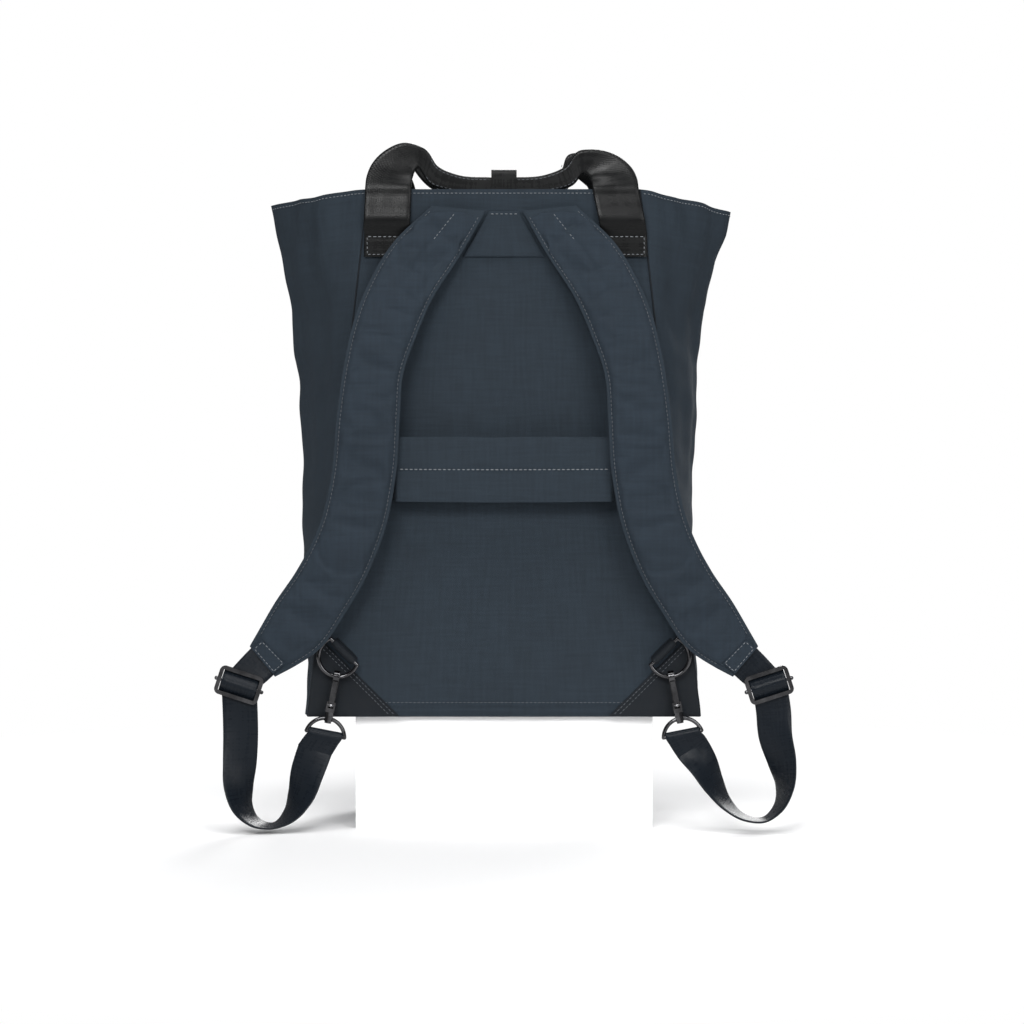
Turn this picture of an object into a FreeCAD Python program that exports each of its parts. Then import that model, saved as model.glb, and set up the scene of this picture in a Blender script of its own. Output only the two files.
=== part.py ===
import FreeCAD, Part
import Sketcher
import math
import os
import re

# A convertible tote bag, worn as a backpack or slid over the posts of a trolley case.
# The bag frame used below has x across the bag (0 in the middle), y from the outer face of
# the back panel (0) towards the front panel, and z up from the base (0). Every finished piece
# is then moved so that the part's own origin is the centre of the trolley sleeve's opening.

os.makedirs("parts", exist_ok=True)
doc = FreeCAD.newDocument("ToteBag")

SIZES = {
    # bag body
    "height": 396.0,
    "depth": 130.0,
    "base_width": 296.0,
    "top_width": 204.0,
    "ear_width": 340.0,
    "ear_height": 381.0,
    "flare_width": 306.0,
    "flare_height": 305.0,
    "waist_width": 290.0,
    "waist_height": 172.0,
    "wall": 2.4,
    "crease_wall": 3.36,
    "lining": 0.8,
    "hem": 14.0,
    # laptop pocket and closing snap inside the bag
    "pocket_width": 214.0,
    "pocket_height": 220.0,
    "pocket_floor": 28.0,
    "pocket_gap": 8.0,
    "pocket_cloth": 1.6,
    "snap_radius": 9.0,
    "snap_thickness": 3.0,
    "snap_drop": 24.0,
    # yoke and corner patches on the back panel
    "yoke_drop": 16.5,
    "yoke_length": 34.0,
    "yoke_top_width": 22.0,
    "yoke_bottom_width": 61.0,
    "patch_cloth": 1.0,
    "corner_size": 70.0,
    # trolley sleeve
    "sleeve_height": 187.5,
    "sleeve_length": 48.0,
    "sleeve_gap": 18.0,
    "sleeve_span": 156.0,
    "sleeve_slope": 11.0,
    "sleeve_flange": 9.0,
    "sleeve_cloth": 2.0,
    # carrying handles
    "handle_width": 32.0,
    "handle_spread": 168.0,
    "handle_leather": 2.6,
    "handle_fold": 8.0,
    "handle_rise": 24.8,
    "handle_patch_length": 49.0,
    "handle_hinge_rise": 1.0,
    "handle_hinge_gap": 2.5,
    "handle_lean": 8.5,
    "keeper_width": 19.0,
    "keeper_wall": 1.0,
    "keeper_top": 3.6,
    # shoulder straps
    "strap_top_drop": 14.5,
    "strap_top_reach": 33.7,
    "strap_end_height": 43.5,
    "strap_end_reach": 32.5,
    "strap_width": 48.0,
    "strap_pad": 12.0,
    "strap_cover": 1.2,
    "strap_clearance": 1.6,
    "strap_patch_width": 9.0,
    "webbing_width": 25.0,
    "webbing": 1.6,
    # slider
    "slider_width": 34.0,
    "slider_height": 22.0,
    "slider_wire": 3.0,
    "slider_corner": 4.2,
    "slider_bar": 2.4,
    "slider_tilt": 18.0,
    "slider_out": 17.5,
    "slider_down": 17.5,
    # ring at the lower corner
    "ring_inset": 28.0,
    "ring_rise": 50.0,
    "ring_stand": 7.2,
    "ring_wire": 3.0,
    "ring_width": 25.0,
    "ring_depth": 22.0,
    "tab_gap": 1.2,
    "tab_wall": 1.5,
    # swivel hook
    "hook_out": 14.0,
    "hook_drop": 62.0,
    "hook_lean": 11.1,
    "hook_reach": 44.0,
    "hook_gap": 5.2,
    "hook_metal": 2.0,
    "hook_width": 4.4,
    "hook_base_width": 6.6,
    "hook_base_rise": 17.0,
    "hook_base_height": 8.0,
    "gate_slot_share": 0.4,
    "gate_pin_share": 0.65,
    "barrel": 6.0,
    "stem": 3.0,
    "stem_head": 5.0,
    "stem_head_height": 1.4,
    "running": 0.1,
    "eye_width": 32.0,
    "eye_height": 15.0,
    "eye_wire": 3.0,
    "eye_hub": 6.4,
    "eye_hub_height": 4.0,
    "gate_width": 3.6,
    "gate_metal": 1.5,
    "gate_pin": 1.2,
    "gate_gap": 0.3,
    "gate_knuckle_wall": 0.7,
    "spring_width": 1.2,
    # free loop of webbing between slider and hook
    "loop_drop": 63.5,
}

sheet = doc.addObject("Spreadsheet::Sheet", "Sizes")
for row, (word, number) in enumerate(SIZES.items(), start=1):
    sheet.set(f"A{row}", word)
    sheet.set(f"B{row}", str(number))
    sheet.setAlias(f"B{row}", word)
doc.recompute()

nodes = []


def size(word):
    """The number that the sheet holds under this alias."""
    return float(getattr(sheet, word))


def bind(item, prop, text):
    """Ties a property to an expression whose words are aliases of the sheet."""
    item.setExpression(prop, re.sub(r"[a-z_]+", lambda m: "Sizes." + m[0] if m[0] in SIZES else m[0], text))


def move_to_origin(item):
    """Moves a piece from the bag frame to the part's own frame, the sleeve's centre."""
    bind(item, "Placement.Base.y", "sleeve_gap / 2")
    bind(item, "Placement.Base.z", "-sleeve_height")


def node(item, label, placed=False):
    """Registers a finished sub-part under its node name."""
    item.Label = label
    if not placed:
        move_to_origin(item)
    nodes.append(item)
    return item


def twin(item, label):
    """The same piece on the other side of the bag: left is the mirror image of right."""
    copy = doc.addObject("Part::Mirroring", label)
    copy.Source = item
    copy.Base = FreeCAD.Vector(0, 0, 0)
    copy.Normal = FreeCAD.Vector(1, 0, 0)
    copy.Label = label
    nodes.append(copy)
    return copy


def both_sides(item, name, placed=False):
    """Registers the right-hand piece and its mirror image on the left."""
    node(item, f"{name}_right", placed)
    twin(item, f"{name}_left")


# ---------------------------------------------------------------- sketches and bodies

def plane_of(body, role):
    """One of a body's own origin planes, such as XY_Plane."""
    return next(f for f in body.Origin.OriginFeatures if f.Role == role)


def outline(body, name, role, corners, offset="0"):
    """A closed polygon sketch; each corner is a pair of sheet expressions."""
    sketch = body.newObject("Sketcher::SketchObject", name)
    sketch.AttachmentSupport = [(plane_of(body, role), "")]
    sketch.MapMode = "FlatFace"
    bind(sketch, "AttachmentOffset.Base.z", offset)
    count = len(corners)
    start = [FreeCAD.Vector(math.cos(2 * math.pi * k / count), math.sin(2 * math.pi * k / count), 0)
             for k in range(count)]
    for k in range(count):
        sketch.addGeometry(Part.LineSegment(start[k], start[(k + 1) % count]))
    for k in range(count):
        sketch.addConstraint(Sketcher.Constraint("Coincident", k, 2, (k + 1) % count, 1))
    for k, (across, along) in enumerate(corners):
        for kind, text in (("DistanceX", across), ("DistanceY", along)):
            index = sketch.addConstraint(Sketcher.Constraint(kind, -1, 1, k, 1, 1.0 + k))
            sketch.renameConstraint(index, f"{kind}_{k}")
            bind(sketch, f"Constraints.{kind}_{k}", text)
    return sketch


def padded_body(name, role, corners, thickness, offset="0", reverse=False):
    """A body that is one polygon given a thickness."""
    body = doc.addObject("PartDesign::Body", name)
    sketch = outline(body, name + "_outline", role, corners, offset)
    pad = body.newObject("PartDesign::Pad", name + "_pad")
    pad.Profile = sketch
    bind(pad, "Length", thickness)
    pad.Reversed = reverse
    sketch.Visibility = False
    return body


def lofted_body(name, role, sections):
    """A body lofted straight from section to section; a section is (offset, corners)."""
    body = doc.addObject("PartDesign::Body", name)
    sketches = [outline(body, f"{name}_section_{k}", role, corners, offset)
                for k, (offset, corners) in enumerate(sections)]
    loft = body.newObject("PartDesign::AdditiveLoft", name + "_loft")
    loft.Profile = sketches[0]
    loft.Sections = sketches[1:]
    loft.Ruled = True
    return body


# ---------------------------------------------------------------- primitives

def primitive(kind, name, **sizes):
    """A Part primitive whose sizes are sheet expressions."""
    item = doc.addObject("Part::" + kind, name)
    for prop, text in sizes.items():
        bind(item, prop, text)
    return item


def place(item, x="0", y="0", z="0", turn=None):
    """Puts a primitive at a corner or centre, after an optional fixed turn (axis, degrees)."""
    if turn:
        item.Placement = FreeCAD.Placement(FreeCAD.Vector(), FreeCAD.Rotation(FreeCAD.Vector(*turn[0]), turn[1]))
    for axis, text in (("x", x), ("y", y), ("z", z)):
        bind(item, f"Placement.Base.{axis}", text)
    return item


def block(name, x, y, z, length, width, height):
    """A box from its lowest corner."""
    return place(primitive("Box", name, Length=length, Width=width, Height=height), x, y, z)


def rod(name, radius, length, x="0", y="0", z="0", along="z"):
    """A round rod that starts at a point and runs along one axis."""
    turns = {"x": ((0, 1, 0), 90), "y": ((1, 0, 0), -90), "z": None}
    return place(primitive("Cylinder", name, Radius=radius, Height=length), x, y, z, turns[along])


def fuse(name, *pieces):
    """One solid from several that touch or overlap."""
    item = doc.addObject("Part::MultiFuse", name)
    item.Shapes = list(pieces)
    item.Refine = True
    return item


def alone(name, piece):
    """A primitive wrapped so that it can be placed again as a whole."""
    item = doc.addObject("Part::Compound", name)
    item.Links = [piece]
    return item


def cut(name, base, tool):
    """The first solid less the second."""
    item = doc.addObject("Part::Cut", name)
    item.Base = base
    item.Tool = tool
    return item


# ---------------------------------------------------------------- free-form pieces

def point(x, y, z):
    """A point of the bag frame."""
    return FreeCAD.Vector(x, y, z)


def section(centre, half_width, half_thickness):
    """The four corners of a rectangle about a centre, from two half-axes."""
    return [centre - half_width - half_thickness, centre + half_width - half_thickness,
            centre + half_width + half_thickness, centre - half_width + half_thickness]


def loft(sections):
    """A closed solid through rectangles: ruled faces from corner to corner, and two flat ends."""
    faces = [Part.Face(Part.makePolygon(end + end[:1])) for end in (sections[0], sections[-1])]
    for first, second in zip(sections, sections[1:]):
        for k in range(4):
            faces.append(Part.makeRuledSurface(Part.makeLine(first[k], first[(k + 1) % 4]),
                                               Part.makeLine(second[k], second[(k + 1) % 4])))
    shell = Part.Shell(faces)
    shell.sewShape()
    solid = Part.Solid(shell)
    if solid.Volume < 0:
        solid.reverse()
    return solid


def shaped(name, shape):
    """A free-form piece that no sketch feature gives; its placement follows its shape."""
    item = doc.addObject("Part::Feature", name)
    item.Shape = shape
    return item


# ---------------------------------------------------------------- bag body

def side_at(level):
    """Half the back panel's width at a height, on its straight side seam."""
    return f"(base_width + (top_width - base_width) * ({level}) / height) / 2"


def panel_corners(inset, low, high):
    """A wall's outline, x by z, with its sides drawn in by an inset."""
    bottom = f"({side_at(low)} - ({inset}))"
    top = f"({side_at(high)} - ({inset}))"
    return [("-" + bottom, low), (bottom, low), (top, high), ("-" + top, high)]


def wall_panel(name, outer_face, inner_face):
    """A trapezoid wall whose side edges are mitred to the gussets."""
    return lofted_body(name, "XZ_Plane", [
        (f"-({outer_face})", panel_corners("0", "0", "height")),
        (f"-({inner_face})", panel_corners("wall", "0", "height")),
    ])


def lining_panel(name, first_face, last_face):
    """The thin lining on the inside of a wall, up to the hem."""
    corners = panel_corners("2 * wall", "wall", "height - hem")
    return padded_body(name, "XZ_Plane", corners, f"({last_face}) - ({first_face})", f"-({last_face})")


node(wall_panel("back_panel", "0", "wall"), "back_panel")
node(wall_panel("front_panel", "depth", "depth - wall"), "front_panel")
node(lining_panel("back_lining", "wall", "wall + lining"), "back_lining")
node(lining_panel("front_lining", "depth - wall - lining", "depth - wall"), "front_lining")


def gusset_section(level, crease):
    """The folded side wall at one height: out to its middle crease and back."""
    side = side_at(level)
    return (level, [(side, "0"), (crease, "depth / 2"), (side, "depth"), (f"{side} - wall", "depth - wall"),
                    (f"{crease} - crease_wall", "depth / 2"), (f"{side} - wall", "wall")])


ear_at_top = ("(flare_width + (ear_width - flare_width) * (height - flare_height)"
              " / (ear_height - flare_height)) / 2")
gusset = lofted_body("gusset_body", "XY_Plane", [
    gusset_section("0", "base_width / 2"),
    gusset_section("waist_height", "waist_width / 2"),
    gusset_section("flare_height", "flare_width / 2"),
    gusset_section("height", ear_at_top),
])
ear_trim = primitive("Box", "ear_trim", Length="ear_width", Width="depth * 2", Height="height")
place(ear_trim, "top_width / 2", "-depth / 2", "height", ((0, 1, 0), 1))
bind(ear_trim, "Placement.Rotation.Angle", "atan2(height - ear_height; (ear_width - top_width) / 2)")
both_sides(cut("gusset_cut", gusset, ear_trim), "gusset")

base_inset = "base_width - 3 * wall"
node(block("base_panel", f"-({base_inset}) / 2", "wall", "0", base_inset, "depth - 2 * wall", "wall"),
     "base_panel", placed=True)
bind(nodes[-1], "Placement.Base.y", "wall + sleeve_gap / 2")
bind(nodes[-1], "Placement.Base.z", "-sleeve_height")

# ---------------------------------------------------------------- inside the bag

pocket_back = "wall + lining"
pocket_outer = block("pocket_outer", "-pocket_width / 2", pocket_back, "pocket_floor",
                     "pocket_width", "pocket_gap + pocket_cloth", "pocket_height")
pocket_hollow = block("pocket_hollow", "-pocket_width / 2 + pocket_cloth", pocket_back,
                      "pocket_floor + pocket_cloth", "pocket_width - 2 * pocket_cloth", "pocket_gap",
                      "pocket_height")
node(cut("pocket_cut", pocket_outer, pocket_hollow), "laptop_pocket")

snap_level = "height - snap_drop - sleeve_height"
node(rod("socket_disc", "snap_radius", "snap_thickness", "0", "wall + lining + sleeve_gap / 2",
         snap_level, "y"), "snap_socket", placed=True)
node(rod("stud_disc", "snap_radius", "snap_thickness", "0",
         "depth - wall - lining - snap_thickness + sleeve_gap / 2", snap_level, "y"), "snap_stud", placed=True)

# ---------------------------------------------------------------- outside of the back panel

yoke_top = "height - yoke_drop"
yoke_bottom = "height - yoke_drop - yoke_length"
node(padded_body("yoke_body", "XZ_Plane", [
    ("-yoke_top_width / 2", yoke_top), ("-yoke_bottom_width / 2", yoke_bottom),
    ("yoke_bottom_width / 2", yoke_bottom), ("yoke_top_width / 2", yoke_top)], "patch_cloth"), "back_yoke")

seam_fall = "(base_width - top_width) / 2 / height"
patch_tip = f"(base_width / 2 - (base_width / 2 - corner_size) * (-{seam_fall})) / (1 + {seam_fall})"
patch_foot = "(base_width / 2 - corner_size)"
both_sides(padded_body("corner_body", "XZ_Plane", [
    (patch_foot, "0"), ("base_width / 2", "0"), (patch_tip, f"{patch_tip} - {patch_foot}")],
    "patch_cloth"), "corner_patch")

sleeve_low = "sleeve_height - sleeve_length / 2"
flat = "sleeve_span / 2"
foot = "(sleeve_span / 2 + sleeve_slope)"
end = "(sleeve_span / 2 + sleeve_slope + sleeve_flange)"
outer_path = [(end, "-sleeve_cloth"), (foot, "-sleeve_cloth"),
              (f"{flat} + sleeve_cloth / 2", "-sleeve_gap - sleeve_cloth")]
inner_path = [(f"{flat}", "-sleeve_gap"), (foot + " - sleeve_cloth", "0"), (end, "0")]
node(padded_body("sleeve_body", "XY_Plane",
                 outer_path + [(f"-({x})", y) for x, y in reversed(outer_path)]
                 + [(f"-({x})", y) for x, y in reversed(inner_path)] + inner_path,
                 "sleeve_length", sleeve_low), "trolley_sleeve")

# ---------------------------------------------------------------- carrying handles

hinge_level = size("height") + size("handle_hinge_rise")
patch_top = "height + handle_hinge_rise - handle_hinge_gap"
rear_patch = block("rear_patch", "(handle_spread - handle_width) / 2", "-handle_leather + sleeve_gap / 2",
                   f"{patch_top} - handle_patch_length - sleeve_height",
                   "handle_width", "handle_leather", "handle_patch_length")
both_sides(rear_patch, "rear_handle_patch", placed=True)
front_patch = block("front_patch", "(handle_spread - handle_width) / 2", "depth + sleeve_gap / 2",
                    f"{patch_top} - handle_patch_length - sleeve_height",
                    "handle_width", "handle_leather", "handle_patch_length")
both_sides(front_patch, "front_handle_patch", placed=True)

# Stations of half a handle, from the leg at its hinge to the middle: share of the leg's
# distance from the centre, inward lean as a share of handle_lean, rise above the hinge as a
# share of handle_rise, half-width across and up as shares of half of handle_width, and how far
# the thickness has grown from the flat leg's leather (0) to the folded middle band (1).
HANDLE_STATIONS = (
    (1.000, -0.15, 0.02, 1.000, 0.000, 0.00),
    (0.994, 0.25, 0.444, 0.975, 0.194, 0.00),
    (0.952, 0.70, 0.766, 0.744, 0.462, 0.33),
    (0.798, 0.95, 0.988, 0.262, 0.569, 0.70),
    (0.714, 1.00, 1.000, 0.031, 0.562, 0.85),
    (0.600, 1.00, 0.645, -0.094, 0.438, 1.00),
    (0.405, 1.00, 0.302, -0.062, 0.419, 1.00),
    (0.120, 1.00, 0.133, 0.000, 0.419, 1.00),
)


def handle_shape():
    """The rear handle: two flat legs that fold into a sagging centre band."""
    half = []
    half_width = size("handle_width") / 2
    flat_leg = size("handle_leather") / 2
    folded = size("handle_fold") / 2
    for share, lean_share, rise, across, up, fold in HANDLE_STATIONS:
        centre = point(share * size("handle_spread") / 2, lean_share * size("handle_lean"),
                       hinge_level + rise * size("handle_rise"))
        width = point(across, 0, up) * half_width
        half.append((centre, width, point(0, flat_leg + fold * (folded - flat_leg), 0)))
    mirrored = [(point(-c.x, c.y, c.z), point(w.x, 0, -w.z), t) for c, w, t in reversed(half)]
    # The half-width vector keeps one sense along the handle: outward and up on the right leg.
    mirrored = [(c, point(-w.x, 0, -w.z), t) for c, w, t in mirrored]
    return loft([section(*station) for station in half + mirrored])


handle = handle_shape()
band_middle = hinge_level + HANDLE_STATIONS[-1][2] * size("handle_rise")
band_half = HANDLE_STATIONS[-1][4] * size("handle_width") / 2
band_thick = size("handle_fold") / 2
keeper_block = Part.makeBox(
    size("keeper_width"), 2 * (band_thick + size("keeper_wall")),
    2 * band_half + size("keeper_wall") + size("keeper_top"),
    point(-size("keeper_width") / 2, size("handle_lean") - band_thick - size("keeper_wall"),
          band_middle - band_half - size("keeper_wall")))
keeper = keeper_block.cut(handle)
middle_of_bag = point(0, size("depth") / 2, 0)
for place_name, handle_part, keeper_part in (
        ("rear", handle, keeper),
        ("front", handle.mirror(middle_of_bag, point(0, 1, 0)), keeper.mirror(middle_of_bag, point(0, 1, 0)))):
    node(shaped(place_name + "_handle_shape", handle_part), place_name + "_handle")
    node(shaped(place_name + "_keeper_shape", keeper_part), place_name + "_handle_keeper")

# ---------------------------------------------------------------- shoulder straps

# Stations of a strap from its top seam to its end: share of the way out, share of the way
# down, half-width across and up as shares of half of strap_width, bow away from the back as a
# share, pad thickness as a share.
STRAP_STATIONS = (
    (0.000, 0.000, 0.846, 0.083, 0.00, 0.34),
    (0.162, 0.090, 1.021, 0.238, 0.12, 0.75),
    (0.286, 0.175, 0.967, 0.312, 0.38, 0.92),
    (0.373, 0.265, 0.938, 0.333, 0.66, 1.00),
    (0.428, 0.351, 0.917, 0.188, 0.88, 1.00),
    (0.455, 0.450, 0.979, 0.033, 1.00, 1.00),
    (0.479, 0.580, 1.000, 0.062, 1.00, 1.00),
    (0.531, 0.690, 0.967, 0.250, 0.98, 1.00),
    (0.617, 0.783, 0.867, 0.500, 0.90, 1.00),
    (0.697, 0.843, 0.792, 0.604, 0.80, 0.95),
    (0.823, 0.922, 0.712, 0.700, 0.66, 0.85),
    (0.925, 0.970, 0.562, 0.562, 0.58, 0.72),
    (1.000, 1.000, 0.396, 0.479, 0.54, 0.58),
)
# The foam starts and ends short of the cover, by shares of the first and last stretch.
FOAM_START = 0.15
FOAM_END = 0.2
bow = size("sleeve_gap") + size("sleeve_cloth")
strap_top = size("height") - size("strap_top_drop")
strap_end_x = size("base_width") / 2 + size("strap_end_reach")


def strap_station(station, inset):
    """One rectangle across a strap, drawn in on every side by an inset."""
    out, down, across, up, away, pad = station
    x = size("strap_top_reach") + out * (strap_end_x - size("strap_top_reach"))
    z = strap_top - down * (strap_top - size("strap_end_height"))
    half_pad = pad * size("strap_pad") / 2
    y = -size("strap_clearance") - away * bow - half_pad
    half = point(across, 0, up) * (size("strap_width") / 2)
    length = half.Length
    return point(x, y, z), half * ((length - inset) / length), point(0, half_pad - inset, 0)


def strap_solid(inset):
    """A strap's pad, or the foam inside it where the inset is the cover's thickness."""
    stations = [strap_station(station, inset) for station in STRAP_STATIONS]
    if inset:
        first, second = stations[0], stations[1]
        stations[0] = (first[0] + (second[0] - first[0]) * FOAM_START, first[1], first[2])
        last, before = stations[-1], stations[-2]
        stations[-1] = (last[0] + (before[0] - last[0]) * FOAM_END, last[1], last[2])
    return loft([section(*station) for station in stations])


foam = strap_solid(size("strap_cover"))
both_sides(shaped("strap_foam_shape", foam), "strap_foam")
both_sides(shaped("strap_cover_shape", strap_solid(0).cut(foam)), "strap_cover")

end_centre, end_half, end_pad = strap_station(STRAP_STATIONS[-1], 0)
across_end = end_half.normalize()
half_web = size("webbing_width") / 2
tilt = math.radians(size("slider_tilt"))
slider_centre = point(end_centre.x + size("slider_out"), end_centre.y, end_centre.z - size("slider_down"))
slider_axis = point(math.cos(tilt), 0, math.sin(tilt))
half_webbing = point(0, size("webbing") / 2, 0)
tail = loft([section(end_centre, across_end * half_web, half_webbing),
             section(slider_centre, slider_axis * half_web, half_webbing)])
both_sides(shaped("strap_tail_shape", tail), "strap_tail")

before_centre, before_half, before_pad = strap_station(STRAP_STATIONS[-2], 0)
end_face = end_centre - end_pad
inward = ((before_centre - before_pad) - end_face).normalize()
patch_start = end_face - point(0, (size("patch_cloth") + size("strap_clearance")) / 2, 0)
patch_half = point(0, size("patch_cloth") / 2, 0)
end_patch = loft([section(patch_start, across_end * half_web, patch_half),
                  section(patch_start + inward * size("strap_patch_width"), across_end * half_web, patch_half)])
both_sides(shaped("strap_end_patch_shape", end_patch), "strap_end_patch")

# ---------------------------------------------------------------- pieces with a frame of their own

def frame_at(origin, across, along, out):
    """The placement of a local frame given in the bag frame, moved to the part's own frame."""
    shift = point(0, size("sleeve_gap") / 2, -size("sleeve_height"))
    return FreeCAD.Placement(origin + shift, FreeCAD.Rotation(across, along, out, "XYZ"))


def framed_pair(item, name, placement):
    """Puts a right-hand piece into its local frame and mirrors it to the left."""
    item.Placement = placement
    both_sides(item, name, placed=True)


# ---------------------------------------------------------------- sliders

# Local frame: x along the centre bar, y up the webbing, z out of the strap's face.
slider_stand = (size("webbing") + size("slider_wire")) / 2 + size("strap_clearance") / 4
slider_frame = frame_at(slider_centre - point(0, slider_stand, 0), slider_axis,
                        point(-math.sin(tilt), 0, math.cos(tilt)), point(0, -1, 0))
outer_ring = block("slider_outer", "-slider_width / 2", "-slider_height / 2", "-slider_wire / 2",
                   "slider_width", "slider_height", "slider_wire")
inner_ring = block("slider_inner", "-slider_width / 2 + slider_wire", "-slider_height / 2 + slider_wire",
                   "-slider_wire", "slider_width - 2 * slider_wire", "slider_height - 2 * slider_wire",
                   "slider_wire * 2")
doc.recompute()
corner_radius = size("slider_corner")
rounded_ring = doc.addObject("Part::Fillet", "slider_rounded")
rounded_ring.Base = outer_ring
rounded_ring.Edges = [(k + 1, corner_radius, corner_radius)
                      for k, edge in enumerate(outer_ring.Shape.Edges)
                      if abs(edge.Vertexes[0].Z - edge.Vertexes[-1].Z) > size("slider_wire") / 2]
framed_pair(cut("slider_ring", rounded_ring, inner_ring), "slider_frame", slider_frame)
bar_solid = rod("slider_rod", "slider_bar / 2", "slider_width - 2 * slider_wire",
                "-slider_width / 2 + slider_wire", along="x")
framed_pair(alone("slider_bar_solid", bar_solid), "slider_bar", slider_frame)

# ---------------------------------------------------------------- ring and its tab at the lower corner

# Local frame: x along the ring's straight bar, y down across the corner patch, z into the bag.
slant = math.sqrt(0.5)
ring_frame = frame_at(point(size("base_width") / 2 - size("ring_inset"), -size("ring_stand"), size("ring_rise")),
                      point(slant, 0, slant), point(slant, 0, -slant), point(0, 1, 0))


def bar_and_arc(name, wire, half, fall, up=False):
    """A ring of round wire: a straight bar along x and an arc through its ends and its far side."""
    radius = f"((({half}) ^ 2 + ({fall}) ^ 2) / (2 * ({fall})))"
    rise = f"(({fall}) - {radius})"
    reach = f"atan2(({half}); {rise})"
    turn = 90 if up else 0
    arc = primitive("Torus", name + "_arc", Radius1=radius, Radius2=f"{wire} / 2", Angle3=f"360 deg - 2 * {reach}")
    place(arc, "0", rise, "0", ((0, 0, 1), 1))
    bind(arc, "Placement.Rotation.Angle", f"{reach} - 90 deg")
    bar = rod(name + "_bar", f"{wire} / 2", f"2 * ({half})", f"-({half})", along="x")
    ends = [place(primitive("Sphere", f"{name}_end_{k}", Radius=f"{wire} / 2"), f"{sign}({half})")
            for k, sign in enumerate(("-", ""))]
    whole = fuse(name, arc, bar, *ends)
    whole.Placement = FreeCAD.Placement(FreeCAD.Vector(), FreeCAD.Rotation(FreeCAD.Vector(1, 0, 0), turn))
    return whole


framed_pair(bar_and_arc("ring_solid", "ring_wire", "(ring_width + ring_wire) / 2",
                        "ring_depth - ring_wire / 2"), "corner_ring", ring_frame)

tab_half = "(ring_wire / 2 + tab_gap / 4 + tab_wall)"
tab_block = block("tab_block", "-ring_width / 2 + tab_gap", f"-{tab_half}", f"-{tab_half}",
                  "ring_width - 2 * tab_gap", f"2 * {tab_half}", f"ring_stand + {tab_half}")
tab_bore = rod("tab_bore", "ring_wire / 2 + tab_gap / 4", "ring_width", "-ring_width / 2", along="x")
framed_pair(cut("tab_solid", tab_block, tab_bore), "ring_tab", ring_frame)

# ---------------------------------------------------------------- swivel hook

# Local frame: x along the eye's bar, y into the bag, z up the hook towards the ring.
lean = math.radians(size("hook_lean"))
hook_up = point(-math.sin(lean), 0, math.cos(lean))
eye_axis = point(math.cos(lean), 0, math.sin(lean))
eye_centre = point(size("base_width") / 2 - size("hook_out"), -size("ring_stand"),
                   size("ring_rise") - size("hook_drop"))
hook_frame = frame_at(eye_centre, eye_axis, point(0, 1, 0), hook_up)

eye_fall = "(eye_height - eye_wire)"
hub_low = f"({eye_fall} - eye_hub_height / 2)"
eye_ring = bar_and_arc("eye_ring", "eye_wire", "(eye_width - eye_wire) / 2", eye_fall, up=True)
eye_hub = rod("eye_hub_rod", "eye_hub / 2", "eye_hub_height", z=hub_low)
eye_bore = rod("eye_bore", "(stem + running) / 2", "2 * eye_hub_height", z=f"{hub_low} - eye_hub_height / 2")
framed_pair(cut("eye_solid", fuse("eye_whole", eye_ring, eye_hub), eye_bore), "swivel_eye", hook_frame)

# A bow of flat metal: a half turn round the ring's wire, a long limb at the back, a short nose in front.
outer_bend = "(hook_gap / 2 + hook_metal)"
nose_low = "(hook_reach - 1.5 * hook_metal)"
bend = rod("bend", outer_bend, "hook_width", "-hook_width / 2", "0", "hook_reach", "x")
back_limb = block("back_limb", "-hook_width / 2", "hook_gap / 2", "hook_base_rise",
                  "hook_width", "hook_metal", "hook_reach - hook_base_rise")
bend_hollow = rod("bend_hollow", "hook_gap / 2", "2 * hook_width", "-hook_width", "0", "hook_reach", "x")
inside = block("inside", "-hook_width", "-hook_gap / 2", "0", "2 * hook_width", "hook_gap", "hook_reach")
throat = block("throat", "-hook_width", f"-{outer_bend}", "0", "2 * hook_width", "hook_gap + hook_metal",
               nose_low)
bow_solid = cut("bow_solid", fuse("bow_full", bend, back_limb), fuse("bow_space", bend_hollow, inside, throat))

# The base holds the gate between two ears, on a pin.
slot_floor = "(hook_base_rise + gate_slot_share * hook_base_height)"
pin_rise = "(hook_base_rise + gate_pin_share * hook_base_height)"
pin_back = "(-hook_gap / 2 - hook_metal / 2)"
slot_width = "(gate_width + 2 * gate_gap)"
base_block = block("base_block", "-hook_base_width / 2", f"-{outer_bend}", "hook_base_rise",
                   "hook_base_width", f"2 * {outer_bend}", "hook_base_height")
gate_slot = block("gate_slot", f"-{slot_width} / 2", f"-{outer_bend}", slot_floor,
                  slot_width, "hook_gap + hook_metal", "hook_base_height")
pin_bore = rod("pin_bore", "gate_pin / 2", "2 * hook_base_width", "-hook_base_width", pin_back, pin_rise, "x")
barrel_low = f"({hub_low} + eye_hub_height + running)"
head_low = f"({hub_low} - running - stem_head_height)"
barrel_rod = rod("barrel_rod", "barrel / 2", f"hook_base_rise - {barrel_low}", z=barrel_low)
stem_rod = rod("stem_rod", "stem / 2", f"{barrel_low} - {head_low}", z=head_low)
head_rod = rod("head_rod", "stem_head / 2", "stem_head_height", z=head_low)
base_solid = cut("base_solid", base_block, gate_slot)
framed_pair(cut("hook_solid", fuse("hook_whole", bow_solid, base_solid, barrel_rod, stem_rod, head_rod),
                pin_bore), "snap_hook", hook_frame)

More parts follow.
